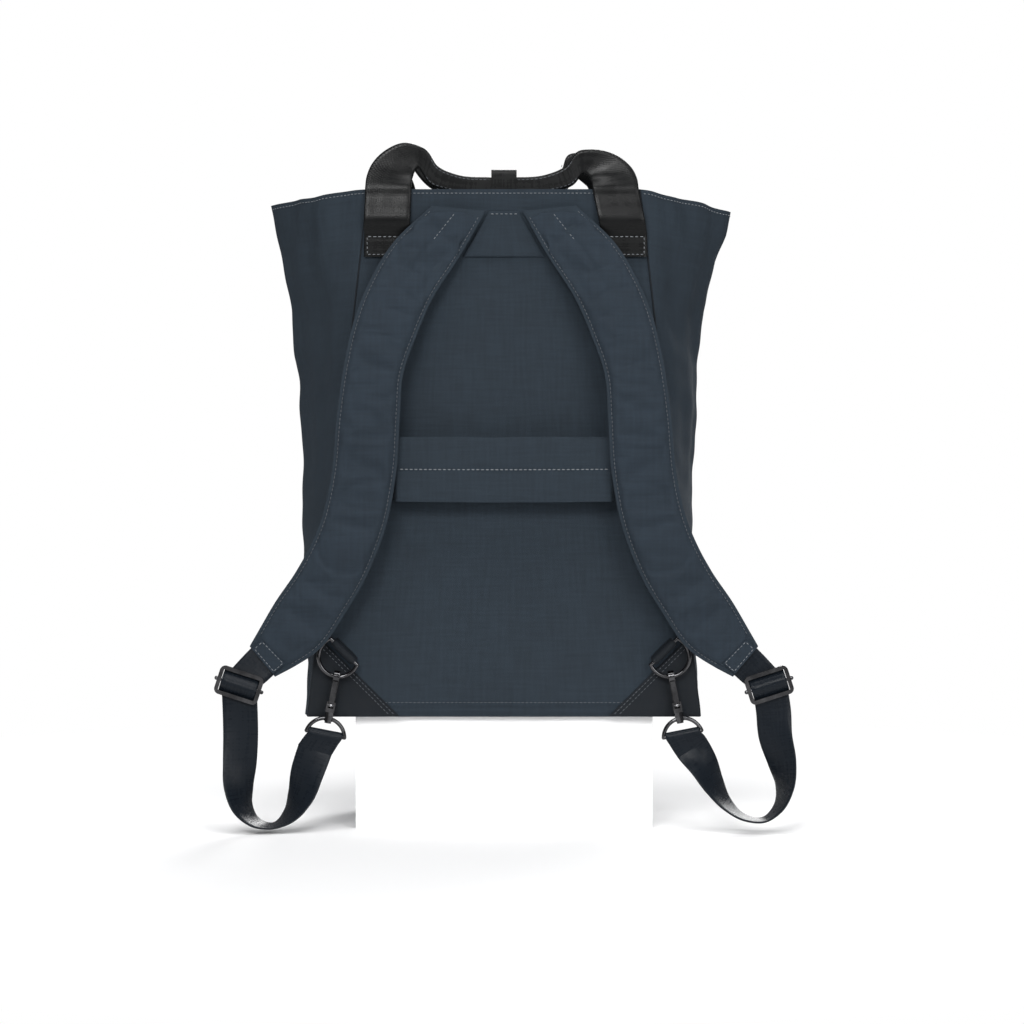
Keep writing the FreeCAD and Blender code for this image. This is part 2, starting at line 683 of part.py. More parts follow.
gate_plate = block("gate_plate", "-gate_width / 2", f"{pin_back} - gate_metal / 2", pin_rise,
                   "gate_width", "gate_metal", f"{nose_low} - gate_gap - {pin_rise}")
gate_knuckle = rod("gate_knuckle", "gate_pin / 2 + gate_knuckle_wall", "gate_width", "-gate_width / 2",
                   pin_back, pin_rise, "x")
gate_bore = rod("gate_bore", "(gate_pin + running) / 2", "2 * gate_width", "-gate_width", pin_back, pin_rise, "x")
spring_space = block("spring_space", "-spring_width / 2 - running", f"{pin_back} - gate_width",
                     f"{pin_rise} - gate_width", "spring_width + 2 * running", "2 * gate_width",
                     "gate_width + gate_pin / 2 + gate_knuckle_wall + gate_gap")
framed_pair(cut("gate_solid", fuse("gate_whole", gate_plate, gate_knuckle),
                fuse("gate_space", gate_bore, spring_space)), "hook_gate", hook_frame)
framed_pair(alone("pin_solid", rod("pin_rod", "gate_pin / 2", "hook_base_width", "-hook_base_width / 2",
                                  pin_back, pin_rise, "x")), "gate_pin", hook_frame)
coil_outer = rod("coil_outer", "gate_pin / 2 + gate_knuckle_wall", "spring_width", "-spring_width / 2",
                 pin_back, pin_rise, "x")
coil_inner = rod("coil_inner", "(gate_pin + running) / 2", "2 * spring_width", "-spring_width",
                 pin_back, pin_rise, "x")
framed_pair(cut("coil_solid", coil_outer, coil_inner), "gate_spring", hook_frame)

# ---------------------------------------------------------------- free loop of webbing

# Stations from the slider down and round to the eye: share of the way out from the eye to the
# slider, height as a share of the rise to the slider (above 0) or of the loop's drop (below 0),
# turn of the webbing's width out of the back's plane in degrees.
LOOP_STATIONS = (
    (1.015, 0.920, 0),
    (1.055, 0.500, 5),
    (1.078, 0.000, 18),
    (1.156, -0.315, 38),
    (1.190, -0.598, 62),
    (1.120, -0.850, 80),
    (0.953, -1.000, 90),
    (0.719, -0.976, 86),
    (0.516, -0.819, 72),
    (0.360, -0.583, 52),
    (0.234, -0.340, 30),
    (0.110, -0.160, 8),
)


def loop_shape():
    """A band that hangs from the slider, turns edge-on at the bottom and rises to the eye."""
    centres = []
    for across, height_share, turn in LOOP_STATIONS:
        x = eye_centre.x + across * (slider_centre.x - eye_centre.x)
        rise = slider_centre.z - eye_centre.z if height_share > 0 else size("loop_drop")
        out = min(1.0, max(0.0, across))
        y = eye_centre.y + out * (slider_centre.y - eye_centre.y)
        centres.append(point(x, y, eye_centre.z + height_share * rise))
    sections = []
    last = len(centres) - 1
    for k, (centre, station) in enumerate(zip(centres, LOOP_STATIONS)):
        along = (centres[min(k + 1, last)] - centres[max(k - 1, 0)]).normalize()
        level = point(0, 1, 0).cross(along).normalize()
        angle = math.radians(station[2])
        width = level * math.cos(angle) + point(0, 1, 0) * math.sin(angle)
        face = along.cross(width).normalize()
        sections.append(section(centre, width * half_web, face * (size("webbing") / 2)))
    return loft(sections)


both_sides(shaped("webbing_loop_shape", loop_shape()), "webbing_loop")

# ---------------------------------------------------------------- check and write

doc.recompute()
for item in doc.Objects:
    if "Invalid" in item.State or "Error" in item.State:
        raise RuntimeError(f"{item.Label} did not recompute: {item.State}")
for item in nodes:
    if item.Shape.isNull() or not item.Shape.isValid() or not item.Shape.Solids:
        raise RuntimeError(f"{item.Label} has no valid solid")
    item.Shape.exportStep(f"parts/{item.Label}.step")
    box = item.Shape.BoundBox
    print(f"{item.Label:28s} solids {len(item.Shape.Solids)} volume {item.Shape.Volume:10.1f}"
          f"  x {box.XMin:7.1f} {box.XMax:7.1f}  y {box.YMin:7.1f} {box.YMax:7.1f}"
          f"  z {box.ZMin:7.1f} {box.ZMax:7.1f}")
print(f"{len(nodes)} sub-parts written")
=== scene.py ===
"""Looks of a convertible tote bag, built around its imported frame.

The bag hangs its shoulder straps, sleeve, rings and handles on a soft fabric shell. All shapes
are worked out in the bag's own frame, in millimetres: x across the bag, y from the outer face of
the back panel (0) towards the front panel, z up from the base (0).
"""
from __future__ import annotations

import logging
import math
from dataclasses import dataclass, field
from enum import Enum

import bpy
import numpy as np
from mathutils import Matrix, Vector
from mathutils.bvhtree import BVHTree


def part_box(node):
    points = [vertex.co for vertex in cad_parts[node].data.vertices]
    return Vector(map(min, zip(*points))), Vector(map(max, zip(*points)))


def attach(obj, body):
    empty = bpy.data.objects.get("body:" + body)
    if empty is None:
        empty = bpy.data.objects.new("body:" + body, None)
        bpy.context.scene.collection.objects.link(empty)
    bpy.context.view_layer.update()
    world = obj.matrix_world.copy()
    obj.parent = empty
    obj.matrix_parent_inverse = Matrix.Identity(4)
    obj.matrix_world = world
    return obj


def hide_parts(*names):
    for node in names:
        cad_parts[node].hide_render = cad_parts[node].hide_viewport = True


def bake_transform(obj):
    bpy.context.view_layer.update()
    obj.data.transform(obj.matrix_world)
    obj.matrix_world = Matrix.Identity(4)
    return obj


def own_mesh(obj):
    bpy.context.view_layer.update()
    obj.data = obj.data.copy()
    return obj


logging.basicConfig(level=logging.INFO, format="%(levelname)s %(message)s")
log = logging.getLogger("tote_bag")

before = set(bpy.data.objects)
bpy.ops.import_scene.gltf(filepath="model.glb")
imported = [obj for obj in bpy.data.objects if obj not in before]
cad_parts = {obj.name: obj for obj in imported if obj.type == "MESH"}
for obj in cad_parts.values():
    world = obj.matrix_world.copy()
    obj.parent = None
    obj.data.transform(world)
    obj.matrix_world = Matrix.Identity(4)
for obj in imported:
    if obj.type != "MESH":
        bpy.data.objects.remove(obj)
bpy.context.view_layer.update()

Array = np.ndarray
Colour = tuple[float, float, float]
MM = 0.001
BACK_LOW = np.array(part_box("back_panel")[0], float)
ORIGIN = np.array([0.0, BACK_LOW[1], BACK_LOW[2]])
SIDES = {"left": -1.0, "right": 1.0}
OUTWARD = np.array([0.0, -1.0, 0.0])
SHARP_TURN = math.radians(50.0)


def to_part(points: Array) -> Array:
    """Moves points from the bag frame to the part's frame.

    Args:
        points: any array whose last axis is x, y, z in millimetres.

    Returns:
        The bag frame's origin plus the points, in metres.
    """
    return ORIGIN + np.asarray(points, float) * MM


def node_box(node: str) -> tuple[Array, Array]:
    """The lowest and highest corner of a node, in millimetres of the bag frame.

    Args:
        node: name of a CAD node.

    Returns:
        Two corners: the node's box less the bag frame's origin.
    """
    low, high = (np.array(corner, float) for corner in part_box(node))
    return (low - ORIGIN) / MM, (high - ORIGIN) / MM

def mirror(side: str) -> Array:
    """What turns the right side's places and directions to those of a side."""
    return np.array([SIDES[side], 1.0, 1.0])


def leaning(degrees: float) -> Array:
    """A direction in the back's plane, turned up by an angle from the one to the right."""
    return np.array([math.cos(math.radians(degrees)), 0.0, math.sin(math.radians(degrees))])


# ---------------------------------------------------------------- curves and surfaces


def unit(vectors: Array) -> Array:
    """Vectors divided by their own length along the last axis."""
    return vectors / np.maximum(np.linalg.norm(vectors, axis=-1, keepdims=True), 1e-9)


def walk(points: Array) -> Array:
    """Distance walked along a row of points, from 0 at the first."""
    return np.concatenate(([0.0], np.cumsum(np.linalg.norm(np.diff(points, axis=0), axis=1))))


def along_path(points: Array) -> Array:
    """Unit directions along a row of points, from central differences."""
    return unit(np.gradient(points, axis=0))


def line(first: Array, last: Array, count: int = 24) -> Array:
    """Points along a straight line."""
    return np.linspace(np.array(first, float), np.array(last, float), count)


def grid(x: Array, y: Array, z: Array) -> Array:
    """Points from three arrays of places, each spread over the others."""
    return np.stack(np.broadcast_arrays(x, y, z), axis=-1)


def crowded(count: int) -> Array:
    """Places from -1 to 1 that crowd towards both ends: the sine of even angles."""
    return np.sin(np.linspace(-math.pi / 2, math.pi / 2, count))


def full_turn(count: int) -> Array:
    """Even angles once round, in radians, without the one that closes the turn."""
    return np.linspace(0, 2 * math.pi, count, endpoint=False)


def squared_turn(count: int, across: float, up: float) -> tuple[Array, Array]:
    """A turn's cosine and sine with their signs kept, each to its own power."""
    cosine, sine = np.cos(full_turn(count)), np.sin(full_turn(count))
    return np.sign(cosine) * np.abs(cosine) ** across, np.sign(sine) * np.abs(sine) ** up


def fading(distance: Array, width: float) -> Array:
    """A share that falls from 1 at no distance by e for each width."""
    return np.exp(-distance / width)


def bell(distance: Array, width: float) -> Array:
    """A bell curve: e to minus the square of the distance over the width."""
    return np.exp(-(distance / width) ** 2)


def smooth_step(share: Array) -> Array:
    """A share eased at both ends: three of its squares less two of its cubes."""
    share = np.clip(share, 0, 1)
    return share ** 2 * (3 - 2 * share)


def smooth(table: Array, count: int) -> Array:
    """Carries a smooth curve through the rows of a table.

    Formula: between two rows, the cubic whose slope at each row is the change over its two
    neighbours divided by the distance walked, measured on the first three columns.

    Args:
        table: rows of x, y, z and any other values that follow the curve.
        count: number of rows wanted, evenly spaced along the walk.

    Returns:
        The table at the wanted places.
    """
    rows = np.asarray(table, float)
    walked = walk(rows[:, :3])
    slope = np.gradient(rows, walked, axis=0)
    place = np.linspace(0.0, walked[-1], count)
    k = np.clip(np.searchsorted(walked, place, side="right") - 1, 0, len(walked) - 2)
    gap = (walked[k + 1] - walked[k])[:, None]
    t = (place - walked[k])[:, None] / gap
    start = (2 * t ** 3 - 3 * t ** 2 + 1) * rows[k] + (t ** 3 - 2 * t ** 2 + t) * gap * slope[k]
    end = (3 * t ** 2 - 2 * t ** 3) * rows[k + 1] + (t ** 3 - t ** 2) * gap * slope[k + 1]
    return start + end


def ripple(x: Array, z: Array, seed: int, size: float) -> Array:
    """A soft uneven relief that never repeats in step.

    Formula: a third of the sum of six cosines of x and z, whose wavelengths lie around a size
    and whose directions and phases come from a seeded generator.

    Args:
        x: places across, in millimetres.
        z: places up, in millimetres.
        seed: chooses the relief.
        size: middle wavelength in millimetres.

    Returns:
        Heights that mostly lie between -1 and 1.
    """
    waves, shortest, longest = 6, 0.6, 1.7
    rng = np.random.default_rng(seed)
    turns, lengths = rng.uniform(0, math.pi, waves), rng.uniform(shortest, longest, waves)
    total = np.zeros(np.broadcast(x, z).shape)
    for turn, length, phase in zip(turns, lengths, rng.uniform(0, 6.3, waves)):
        along = x * math.cos(turn) + z * math.sin(turn)
        total = total + np.cos(along * 2 * math.pi / (size * length) + phase)
    return total / 3.0


@dataclass
class Skin:
    """A closed surface: points in the bag frame, faces, and a cloth map in metres."""

    points: Array
    quads: Array
    caps: list[Array] = field(default_factory=list)
    quad_map: Array | None = None
    quad_finish: Array | None = None

    def volume(self) -> float:
        """Six times the signed volume: the sum of triple products over fans of each face."""
        p, q = self.points, self.quads
        total = np.einsum("ij,ij->", p[q[:, 0]], np.cross(p[q[:, 1]], p[q[:, 2]]))
        total += np.einsum("ij,ij->", p[q[:, 0]], np.cross(p[q[:, 2]], p[q[:, 3]]))
        for cap in self.caps:
            total += np.einsum("ij,ij->", np.repeat(p[cap[:1]], len(cap) - 2, 0),
                               np.cross(p[cap[1:-1]], p[cap[2:]]))
        return float(total)

    def outward(self) -> "Skin":
        """The same surface with every face pointing out."""
        if self.volume() < 0:
            self.quads = self.quads[:, ::-1]
            self.caps = [cap[::-1] for cap in self.caps]
            if self.quad_map is not None:
                self.quad_map = self.quad_map[:, ::-1]
        return self

    def mesh(self, name: str) -> bpy.types.Mesh:
        """Writes the surface into a mesh with smooth faces and sharp folds.

        Args:
            name: name of the mesh.

        Returns:
            The mesh, in metres of the part's frame.
        """
        self.outward()
        mesh = bpy.data.meshes.new(name)
        faces = self.quads.tolist() + [cap.tolist() for cap in self.caps]
        mesh.from_pydata(to_part(self.points).tolist(), [], faces)
        mesh.update()
        layer = mesh.uv_layers.new(name="cloth")
        values = np.zeros((len(mesh.loops), 2), np.float32)
        if self.quad_map is not None:
            values[:self.quads.size] = self.quad_map.reshape(-1, 2) * MM
        layer.data.foreach_set("uv", values.ravel())
        index = np.zeros(len(mesh.polygons), np.int32)
        if self.quad_finish is not None:
            index[:len(self.quads)] = self.quad_finish
        mesh.polygons.foreach_set("material_index", index)
        mesh.shade_smooth()
        mesh.set_sharp_from_angle(angle=SHARP_TURN)
        return mesh


def grid_quads(rows: int, columns: int) -> Array:
    """Corner numbers, row by column, of the quads of a grid; not yet wrapped."""
    i, j = np.meshgrid(np.arange(rows - 1), np.arange(columns - 1), indexing="ij")
    corners = np.stack([i, j, i, j + 1, i + 1, j + 1, i + 1, j], axis=-1)
    return corners.reshape(-1, 4, 2)


def loop_skin(points: Array, ring: bool = False) -> Skin:
    """Skins a grid of closed sections carried along a path.

    Formula: point (row, column) joins its neighbours, the last column joins the first, and the
    two ends are closed by a flat cap, or by each other for a ring.

    Args:
        points: grid of rows by columns of points.
        ring: whether the last row joins the first.

    Returns:
        The closed surface with a map of distance around and along.
    """
    rows, columns = points.shape[:2]
    corners = grid_quads(rows + 1 if ring else rows, columns + 1)
    around = walk(np.concatenate((points[rows // 2], points[rows // 2, :1])))
    length = walk(np.concatenate((points[:, 0], points[:1, 0])))
    quads = (corners[..., 0] % rows) * columns + corners[..., 1] % columns
    cloth = np.stack([around[corners[..., 1]], length[corners[..., 0]]], axis=-1)
    caps = [] if ring else [np.arange(columns)[::-1], (rows - 1) * columns + np.arange(columns)]
    return Skin(points.reshape(-1, 3), quads, caps, cloth)


def shell_skin(outer: Array, inner: Array, lined: bool = False) -> Skin:
    """Skins a wall between two grids, with a closed rim.

    Formula: the outer grid's quads, the inner grid's quads turned round, and quads between the
    two borders, walked once round the grid.

    Args:
        outer: grid of points on the outer face.
        inner: grid of points on the inner face, of the same shape.
        lined: whether the inner face takes the piece's second finish.

    Returns:
        The closed surface with a map of distance across and along.
    """
    rows, columns = outer.shape[:2]
    corners = grid_quads(rows, columns)
    face = corners[..., 0] * columns + corners[..., 1]
    across = walk(outer[rows // 2])
    length = walk(outer[:, columns // 2])
    cloth = np.stack([across[corners[..., 1]], length[corners[..., 0]]], axis=-1)
    grid = np.arange(rows * columns).reshape(rows, columns)
    border = np.concatenate((grid[0, :-1], grid[:-1, -1], grid[-1, :0:-1], grid[:0:-1, 0]))
    ahead = np.roll(border, -1)
    shift = rows * columns
    rim = np.stack([ahead, border, border + shift, ahead + shift], axis=-1)
    rim_map = np.zeros((len(rim), 4, 2))
    points = np.concatenate((outer.reshape(-1, 3), inner.reshape(-1, 3)))
    finish = np.repeat((0, int(lined), 0), (len(face), len(face), len(rim)))
    quads = np.concatenate((face, face[:, ::-1] + shift, rim))
    return Skin(points, quads, [], np.concatenate((cloth, cloth[:, ::-1], rim_map)), finish)


def rounded_section(flat: int, turn: int) -> tuple[Array, Array, Array]:
    """A flat strip's section: two straight faces joined by half-round edges.

    Args:
        flat: points on each straight face.
        turn: points on each half-round edge.

    Returns:
        Three rows: place across the straight part from -1 to 1, cosine and sine of the edge's turn.
    """
    run = np.linspace(-1, 1, flat)
    arc = np.linspace(math.pi / 2, -math.pi / 2, turn + 2)[1:-1]
    share = np.concatenate((run, np.ones(turn), run[::-1], -np.ones(turn)))
    cosine = np.concatenate((np.zeros(flat), np.cos(arc), np.zeros(flat), -np.cos(arc)))
    sine = np.concatenate((np.ones(flat), np.sin(arc), -np.ones(flat), -np.sin(arc)))
    return share, cosine, sine


def band_skin(centres: Array, widths: Array, thick: Array | float, flat: int = 11, turn: int = 3) -> Skin:
    """Skins a flat strip carried along a path.

    Formula: centre + across * (straight half-width * share + half-thickness * cosine of the
    edge's turn) + face * half-thickness * sine, where face is along x across.

    Args:
        centres: points along the middle of the strip.
        widths: half-width vector at each point, or one for all of them.
        thick: half-thickness, one number or one for each point.
        flat: points on each straight face.
        turn: points on each half-round edge.

    Returns:
        The closed strip.
    """
    share, cosine, sine = rounded_section(flat, turn)
    widths = np.broadcast_to(widths, centres.shape)
    half = np.linalg.norm(widths, axis=1)[:, None, None]
    across = unit(widths)[:, None, :]
    face = unit(np.cross(along_path(centres), widths))[:, None, :]
    depth = (np.zeros(len(centres)) + thick)[:, None, None]
    reach = (half - depth) * share[None, :, None] + depth * cosine[None, :, None]
    rise = depth * sine[None, :, None]
    return loop_skin(centres[:, None, :] + across * reach + face * rise)


def rod_skin(centres: Array, radius: Array | float, around: int) -> Skin:
    """Skins a round rod carried along a path that never runs straight out of the back.

    Formula: centre + radius * (side * cosine + lift * sine), side and lift square to the path.

    Args:
        centres: points along the rod.
        radius: one number or one for each point.
        around: points on each section.

    Returns:
        The closed rod.
    """
    direction = along_path(centres)
    side = unit(np.cross(direction, OUTWARD))
    lift = np.cross(side, direction)
    turn = full_turn(around)[None, :, None]
    size = (np.zeros(len(centres)) + radius)[:, None, None]
    section = side[:, None] * np.cos(turn) + lift[:, None] * np.sin(turn)
    return loop_skin(centres[:, None, :] + size * section)


# ---------------------------------------------------------------- finishes


class Weave(Enum):
    """Ways that the threads of a cloth cross: one by one, or in slanting lines."""

    PLAIN = "plain"
    TWILL = "twill"


class Follow(Enum):
    """What a cloth's pattern follows: the piece's own map, or its place in x and z."""

    MAP = "map"
    PLACE = "place"


class Nodes:
    """Short calls that add shader nodes to one material."""

    def __init__(self, name: str) -> None:
        """Starts a material with its shader ready.

        Args:
            name: the material's name.
        """
        self.material = bpy.data.materials.new(name)
        self.material.use_nodes = True
        self.tree = self.material.node_tree
        self.shader = self.tree.nodes["Principled BSDF"]

    def add(self, kind: str, inputs: dict | None = None, **settings: object) -> bpy.types.Node:
        """Adds a node, sets its options and fills its inputs.

        Args:
            kind: the node's type name.
            inputs: socket name or number, and a value or another node's output.
            settings: the node's own options.

        Returns:
            The node.
        """
        node = self.tree.nodes.new(kind)
        for key, value in settings.items():
            setattr(node, key, value)
        for key, value in (inputs or {}).items():
            if isinstance(value, bpy.types.NodeSocket):
                self.tree.links.new(value, node.inputs[key])
            else:
                node.inputs[key].default_value = value
        return node

    def sum_up(self, operation: str, first: object, second: object = 0.0) -> bpy.types.NodeSocket:
        """One step of arithmetic on two values.

        Args:
            operation: the Math node's operation.
            first: a value or an output.
            second: a value or an output.

        Returns:
            The result's output.
        """
        return self.add("ShaderNodeMath", {0: first, 1: second}, operation=operation).outputs[0]

    def mean(self, first: bpy.types.NodeSocket, second: bpy.types.NodeSocket,
             share: float = 0.5) -> bpy.types.NodeSocket:
        """A share of one output and the rest of another, added."""
        rest = self.sum_up("MULTIPLY", second, 1 - share)
        return self.sum_up("ADD", self.sum_up("MULTIPLY", first, share), rest)
    def noise(self, place: bpy.types.NodeSocket, scale: float, detail: float = 2.0) -> bpy.types.NodeSocket:
        """Soft noise from 0 to 1 at a place.

        Args:
            place: the output that holds the coordinates.
            scale: waves for each metre.
            detail: how many finer layers it has.

        Returns:
            The noise's output.
        """
        return self.add("ShaderNodeTexNoise", {"Vector": place, "Scale": scale, "Detail": detail}).outputs[0]

    def spread(self, value: bpy.types.NodeSocket, low: float, high: float, to_low: float,
               to_high: float) -> bpy.types.NodeSocket:
        """Maps one range of a value to another.

        Args:
            value: the output to map.
            low: where the range starts.
            high: where it ends.
            to_low: what its start becomes.
            to_high: what its end becomes.

        Returns:
            The mapped output.
        """
        return self.add("ShaderNodeMapRange", {0: value, 1: low, 2: high, 3: to_low, 4: to_high}).outputs[0]

    def blend(self, share: bpy.types.NodeSocket, first: Colour, second: Colour) -> bpy.types.NodeSocket:
        """Mixes two colours by a share from 0 to 1.

        Args:
            share: the output that holds the share.
            first: colour at 0.
            second: colour at 1.

        Returns:
            The colour's output.
        """
        node = self.add("ShaderNodeMix", {0: share, 6: (*first, 1.0), 7: (*second, 1.0)}, data_type="RGBA")
        return node.outputs[2]

    def bump(self, height: bpy.types.NodeSocket, distance: float, strength: float = 1.0,
             under: bpy.types.NodeSocket | None = None) -> bpy.types.NodeSocket:
        """Raises the surface by a height.

        Args:
            height: the output that holds the height from 0 to 1.
            distance: the height's size in metres.
            strength: share of the effect.
            under: normal that this one is laid on.

        Returns:
            The normal's output.
        """
        inputs = {"Height": height, "Distance": distance, "Strength": strength}
        if under is not None:
            inputs["Normal"] = under
        return self.add("ShaderNodeBump", inputs).outputs[0]

    def set(self, **values: object) -> None:
        """Fills the shader's sockets; an underscore stands for a space."""
        for key, value in values.items():
            socket = self.shader.inputs[key.replace("_", " ")]
            if isinstance(value, bpy.types.NodeSocket):
                self.tree.links.new(value, socket)
            else:
                socket.default_value = value


def shade(colour: Colour, factor: float) -> Colour:
    """A colour made darker or lighter by a factor."""
    return tuple(min(1.0, c * factor) for c in colour)


@dataclass(frozen=True)
class Cloth:
    """A woven cloth or webbing: colour, thread pitch, weave, sheen and unevenness.

    Lengths are in metres. Slubs and cross slubs are waves for each metre along and across the
    threads, clouds and creases are waves for each metre of the piece.
    """

    name: str
    colour: Colour
    weave: Weave = Weave.PLAIN
    follow: Follow = Follow.MAP
    pitch: float = 0.0007
    relief: float = 0.00012
    roughness: float = 0.78
    sheen: float = 0.25
    contrast: float = 0.24
    crumple: float = 0.0004
    specular: float = 0.3
    slubs: tuple = ((420.0, 34.0, 34.0), (38.0, 520.0, 38.0))
    clouds: float = 14.0
    creases: float = 28.0
    thread_share: float = 0.45
    gloss_swing: float = 0.06

    def threads(self, nodes: Nodes, place: bpy.types.NodeSocket) -> bpy.types.NodeSocket:
        """Height of the threads from 0 to 1.

        Formula: plain is the product of a sine across and one along; twill is a sine of their
        sum.

        Args:
            nodes: the material being made.
            place: coordinates in metres, the two ways of the cloth in x and y.

        Returns:
            The height's output.
        """
        parts = nodes.add("ShaderNodeSeparateXYZ", {0: place})
        turns = 2 * math.pi / self.pitch
        across, along = (nodes.sum_up("MULTIPLY", parts.outputs[k], turns) for k in (0, 1))
        if self.weave is Weave.TWILL:
            wave = nodes.sum_up("SINE", nodes.sum_up("ADD", across, along))
        else:
            wave = nodes.sum_up("MULTIPLY", nodes.sum_up("SINE", across), nodes.sum_up("SINE", along))
        return nodes.spread(wave, -1.0, 1.0, 0.0, 1.0)

    def material(self) -> bpy.types.Material:
        """Makes the cloth's material.

        Formula: the fade is half slubs and half clouds; the tone is a share of the threads and
        the rest of the fade, and mixes a darker and a lighter shade of the colour.

        Returns:
            A material whose colour, gloss and relief vary with the threads and with soft noise.
        """
        nodes = Nodes(self.name)
        source = nodes.add("ShaderNodeTexCoord")
        place, body = source.outputs["UV"], source.outputs["Object"]
        if self.follow is Follow.PLACE:
            parts = nodes.add("ShaderNodeSeparateXYZ", {0: body})
            place = nodes.add("ShaderNodeCombineXYZ", {0: parts.outputs[0], 1: parts.outputs[2]}).outputs[0]
        threads = self.threads(nodes, place)
        slubs = [nodes.add("ShaderNodeMapping", {"Vector": place, "Scale": scale}) for scale in self.slubs]
        streak = nodes.mean(*(nodes.noise(slub.outputs[0], 1.0, 1.0) for slub in slubs))
        fade = nodes.mean(nodes.spread(streak, 0.36, 0.64, 0.0, 1.0), nodes.noise(body, self.clouds, 3.0))
        tone = nodes.spread(nodes.mean(threads, fade, self.thread_share), 0.2, 0.8, 0.0, 1.0)
        low, high = shade(self.colour, 1 - self.contrast), shade(self.colour, 1 + self.contrast)
        crumple = nodes.bump(nodes.noise(body, self.creases), self.crumple * 10, 0.35)
        glossy, dull = self.roughness - self.gloss_swing, self.roughness + self.gloss_swing
        nodes.set(Base_Color=nodes.blend(tone, low, high),
                  Roughness=nodes.spread(fade, 0.3, 0.7, glossy, dull),
                  Normal=nodes.bump(threads, self.relief, 0.8, crumple),
                  Sheen_Weight=self.sheen, Sheen_Roughness=0.45,
                  Sheen_Tint=(*shade(self.colour, 6.0), 1.0), Specular_IOR_Level=self.specular)
        return nodes.material


@dataclass(frozen=True)
class Metal:
    """A dark plated metal with faint scratches and worn lights."""

    name: str
    colour: Colour
    roughness: float
    grain: float = 900.0
    wear: float = 120.0

    def material(self) -> bpy.types.Material:
        """Makes the metal's material, its gloss broken up by fine noise."""
        nodes = Nodes(self.name)
        body = nodes.add("ShaderNodeTexCoord").outputs["Object"]
        grain = nodes.noise(body, self.grain, 3.0)
        wear = nodes.spread(nodes.noise(body, self.wear, 2.0), 0.35, 0.7, 0.0, 1.0)
        nodes.set(Base_Color=nodes.blend(wear, shade(self.colour, 0.8), shade(self.colour, 1.5)),
                  Metallic=1.0,
                  Roughness=nodes.spread(grain, 0.3, 0.7, self.roughness - 0.06, self.roughness + 0.1),
                  Normal=nodes.bump(grain, 0.00004, 0.3))
        return nodes.material


@dataclass(frozen=True)
class Thread:
    """A sewing thread, lighter and darker along its twist."""

    name: str
    colour: Colour
    twist: float = 2600.0

    def material(self) -> bpy.types.Material:
        """Makes the thread's material, with a twist worked out from fine noise."""
        nodes = Nodes(self.name)
        body = nodes.add("ShaderNodeTexCoord").outputs["Object"]
        twist = nodes.noise(body, self.twist, 1.0)
        nodes.set(Base_Color=nodes.blend(twist, shade(self.colour, 0.6), shade(self.colour, 1.3)),
                  Roughness=nodes.spread(twist, 0.2, 0.8, 0.5, 0.75), Normal=nodes.bump(twist, 0.0001, 0.6),
                  Sheen_Weight=0.2)
        return nodes.material


SHELL = Cloth("shell_cloth", (0.0215, 0.0295, 0.0385), sheen=0.05, specular=0.12, roughness=0.86)
SHELL_PADDED = Cloth("strap_cloth", (0.0208, 0.0288, 0.0385), follow=Follow.PLACE, sheen=0.05, specular=0.12,
                     roughness=0.86)
LINING = Cloth("lining_cloth", (0.012, 0.013, 0.016), weave=Weave.TWILL, pitch=0.0011, roughness=0.7,
               specular=0.2)
# Patch cloth: the shell's navy made darker, partly the cloth's own deeper tone and partly painted shade of
# the bag's lower corners; ring tabs and corner seams wear it too.
SHADED_PATCH = Cloth("corner_cloth", (0.0066, 0.0090, 0.0122), weave=Weave.TWILL, pitch=0.0009, roughness=0.68,
              sheen=0.08, specular=0.2)
HANDLE = Cloth("handle_webbing", (0.0062, 0.0065, 0.0067), pitch=0.0010, relief=0.00005,
               roughness=0.29, sheen=0.01, contrast=0.08, crumple=0.0002, specular=0.12)
STRAP_WEB = Cloth("strap_webbing", (0.0062, 0.0088, 0.0125), weave=Weave.TWILL, pitch=0.0010, relief=0.00008,
                  roughness=0.30, sheen=0.01, contrast=0.08, crumple=0.0002, specular=0.12)
GUNMETAL = Metal("dark_nickel", (0.062, 0.062, 0.065), 0.13)
STEEL = Metal("spring_metal", (0.30, 0.30, 0.31), 0.3)
PALE_THREAD = Thread("pale_thread", (0.17, 0.185, 0.20))
DIM_THREAD = Thread("dim_thread", (0.065, 0.075, 0.088))

_made: dict[str, bpy.types.Material] = {}


def finish(kind: Cloth | Metal | Thread) -> bpy.types.Material:
    """The material of a finish, made once."""
    if kind.name not in _made:
        _made[kind.name] = kind.material()
    return _made[kind.name]


# ---------------------------------------------------------------- pieces


def fold_down(piece: bpy.types.Object) -> None:
    """Gives a side piece a mesh of its own; it does not flatten the piece as the bag folds.

    Args:
        piece: the finished piece.
    """
    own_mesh(piece)


def add_piece(name: str, skin: Skin | bpy.types.Mesh, finishes: list, body: str,
              stands_for: tuple[str, ...] = (), fold: bool = False,
              bend: tuple[str, str, Array, Array] | None = None) -> bpy.types.Object:
    """Turns a surface into a finished piece that moves with a body.

    Args:
        name: the piece's name.
        skin: its surface, or a mesh that is ready.
        finishes: its finishes, in the order of its faces' numbers.
        body: the body that it rides on.
        stands_for: CAD nodes that it replaces.
        fold: whether it gets a mesh of its own; it does not flatten as the bag folds.
        bend: two bodies and two points of the bag frame; when given, the piece is set in place and rides on
            no body, and it does not bend.

    Returns:
        The piece.
    """
    mesh = skin.mesh(name) if isinstance(skin, Skin) else skin
    piece = bpy.data.objects.new(name, mesh)
    bpy.context.scene.collection.objects.link(piece)
    for kind in finishes:
        mesh.materials.append(finish(kind))
    if stands_for:
        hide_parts(*stands_for)
    if bend:
        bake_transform(piece)
    else:
        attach(piece, body)
        if fold:
            fold_down(piece)
    log.info("%s: %d faces on %s", name, len(mesh.polygons), body)
    return piece


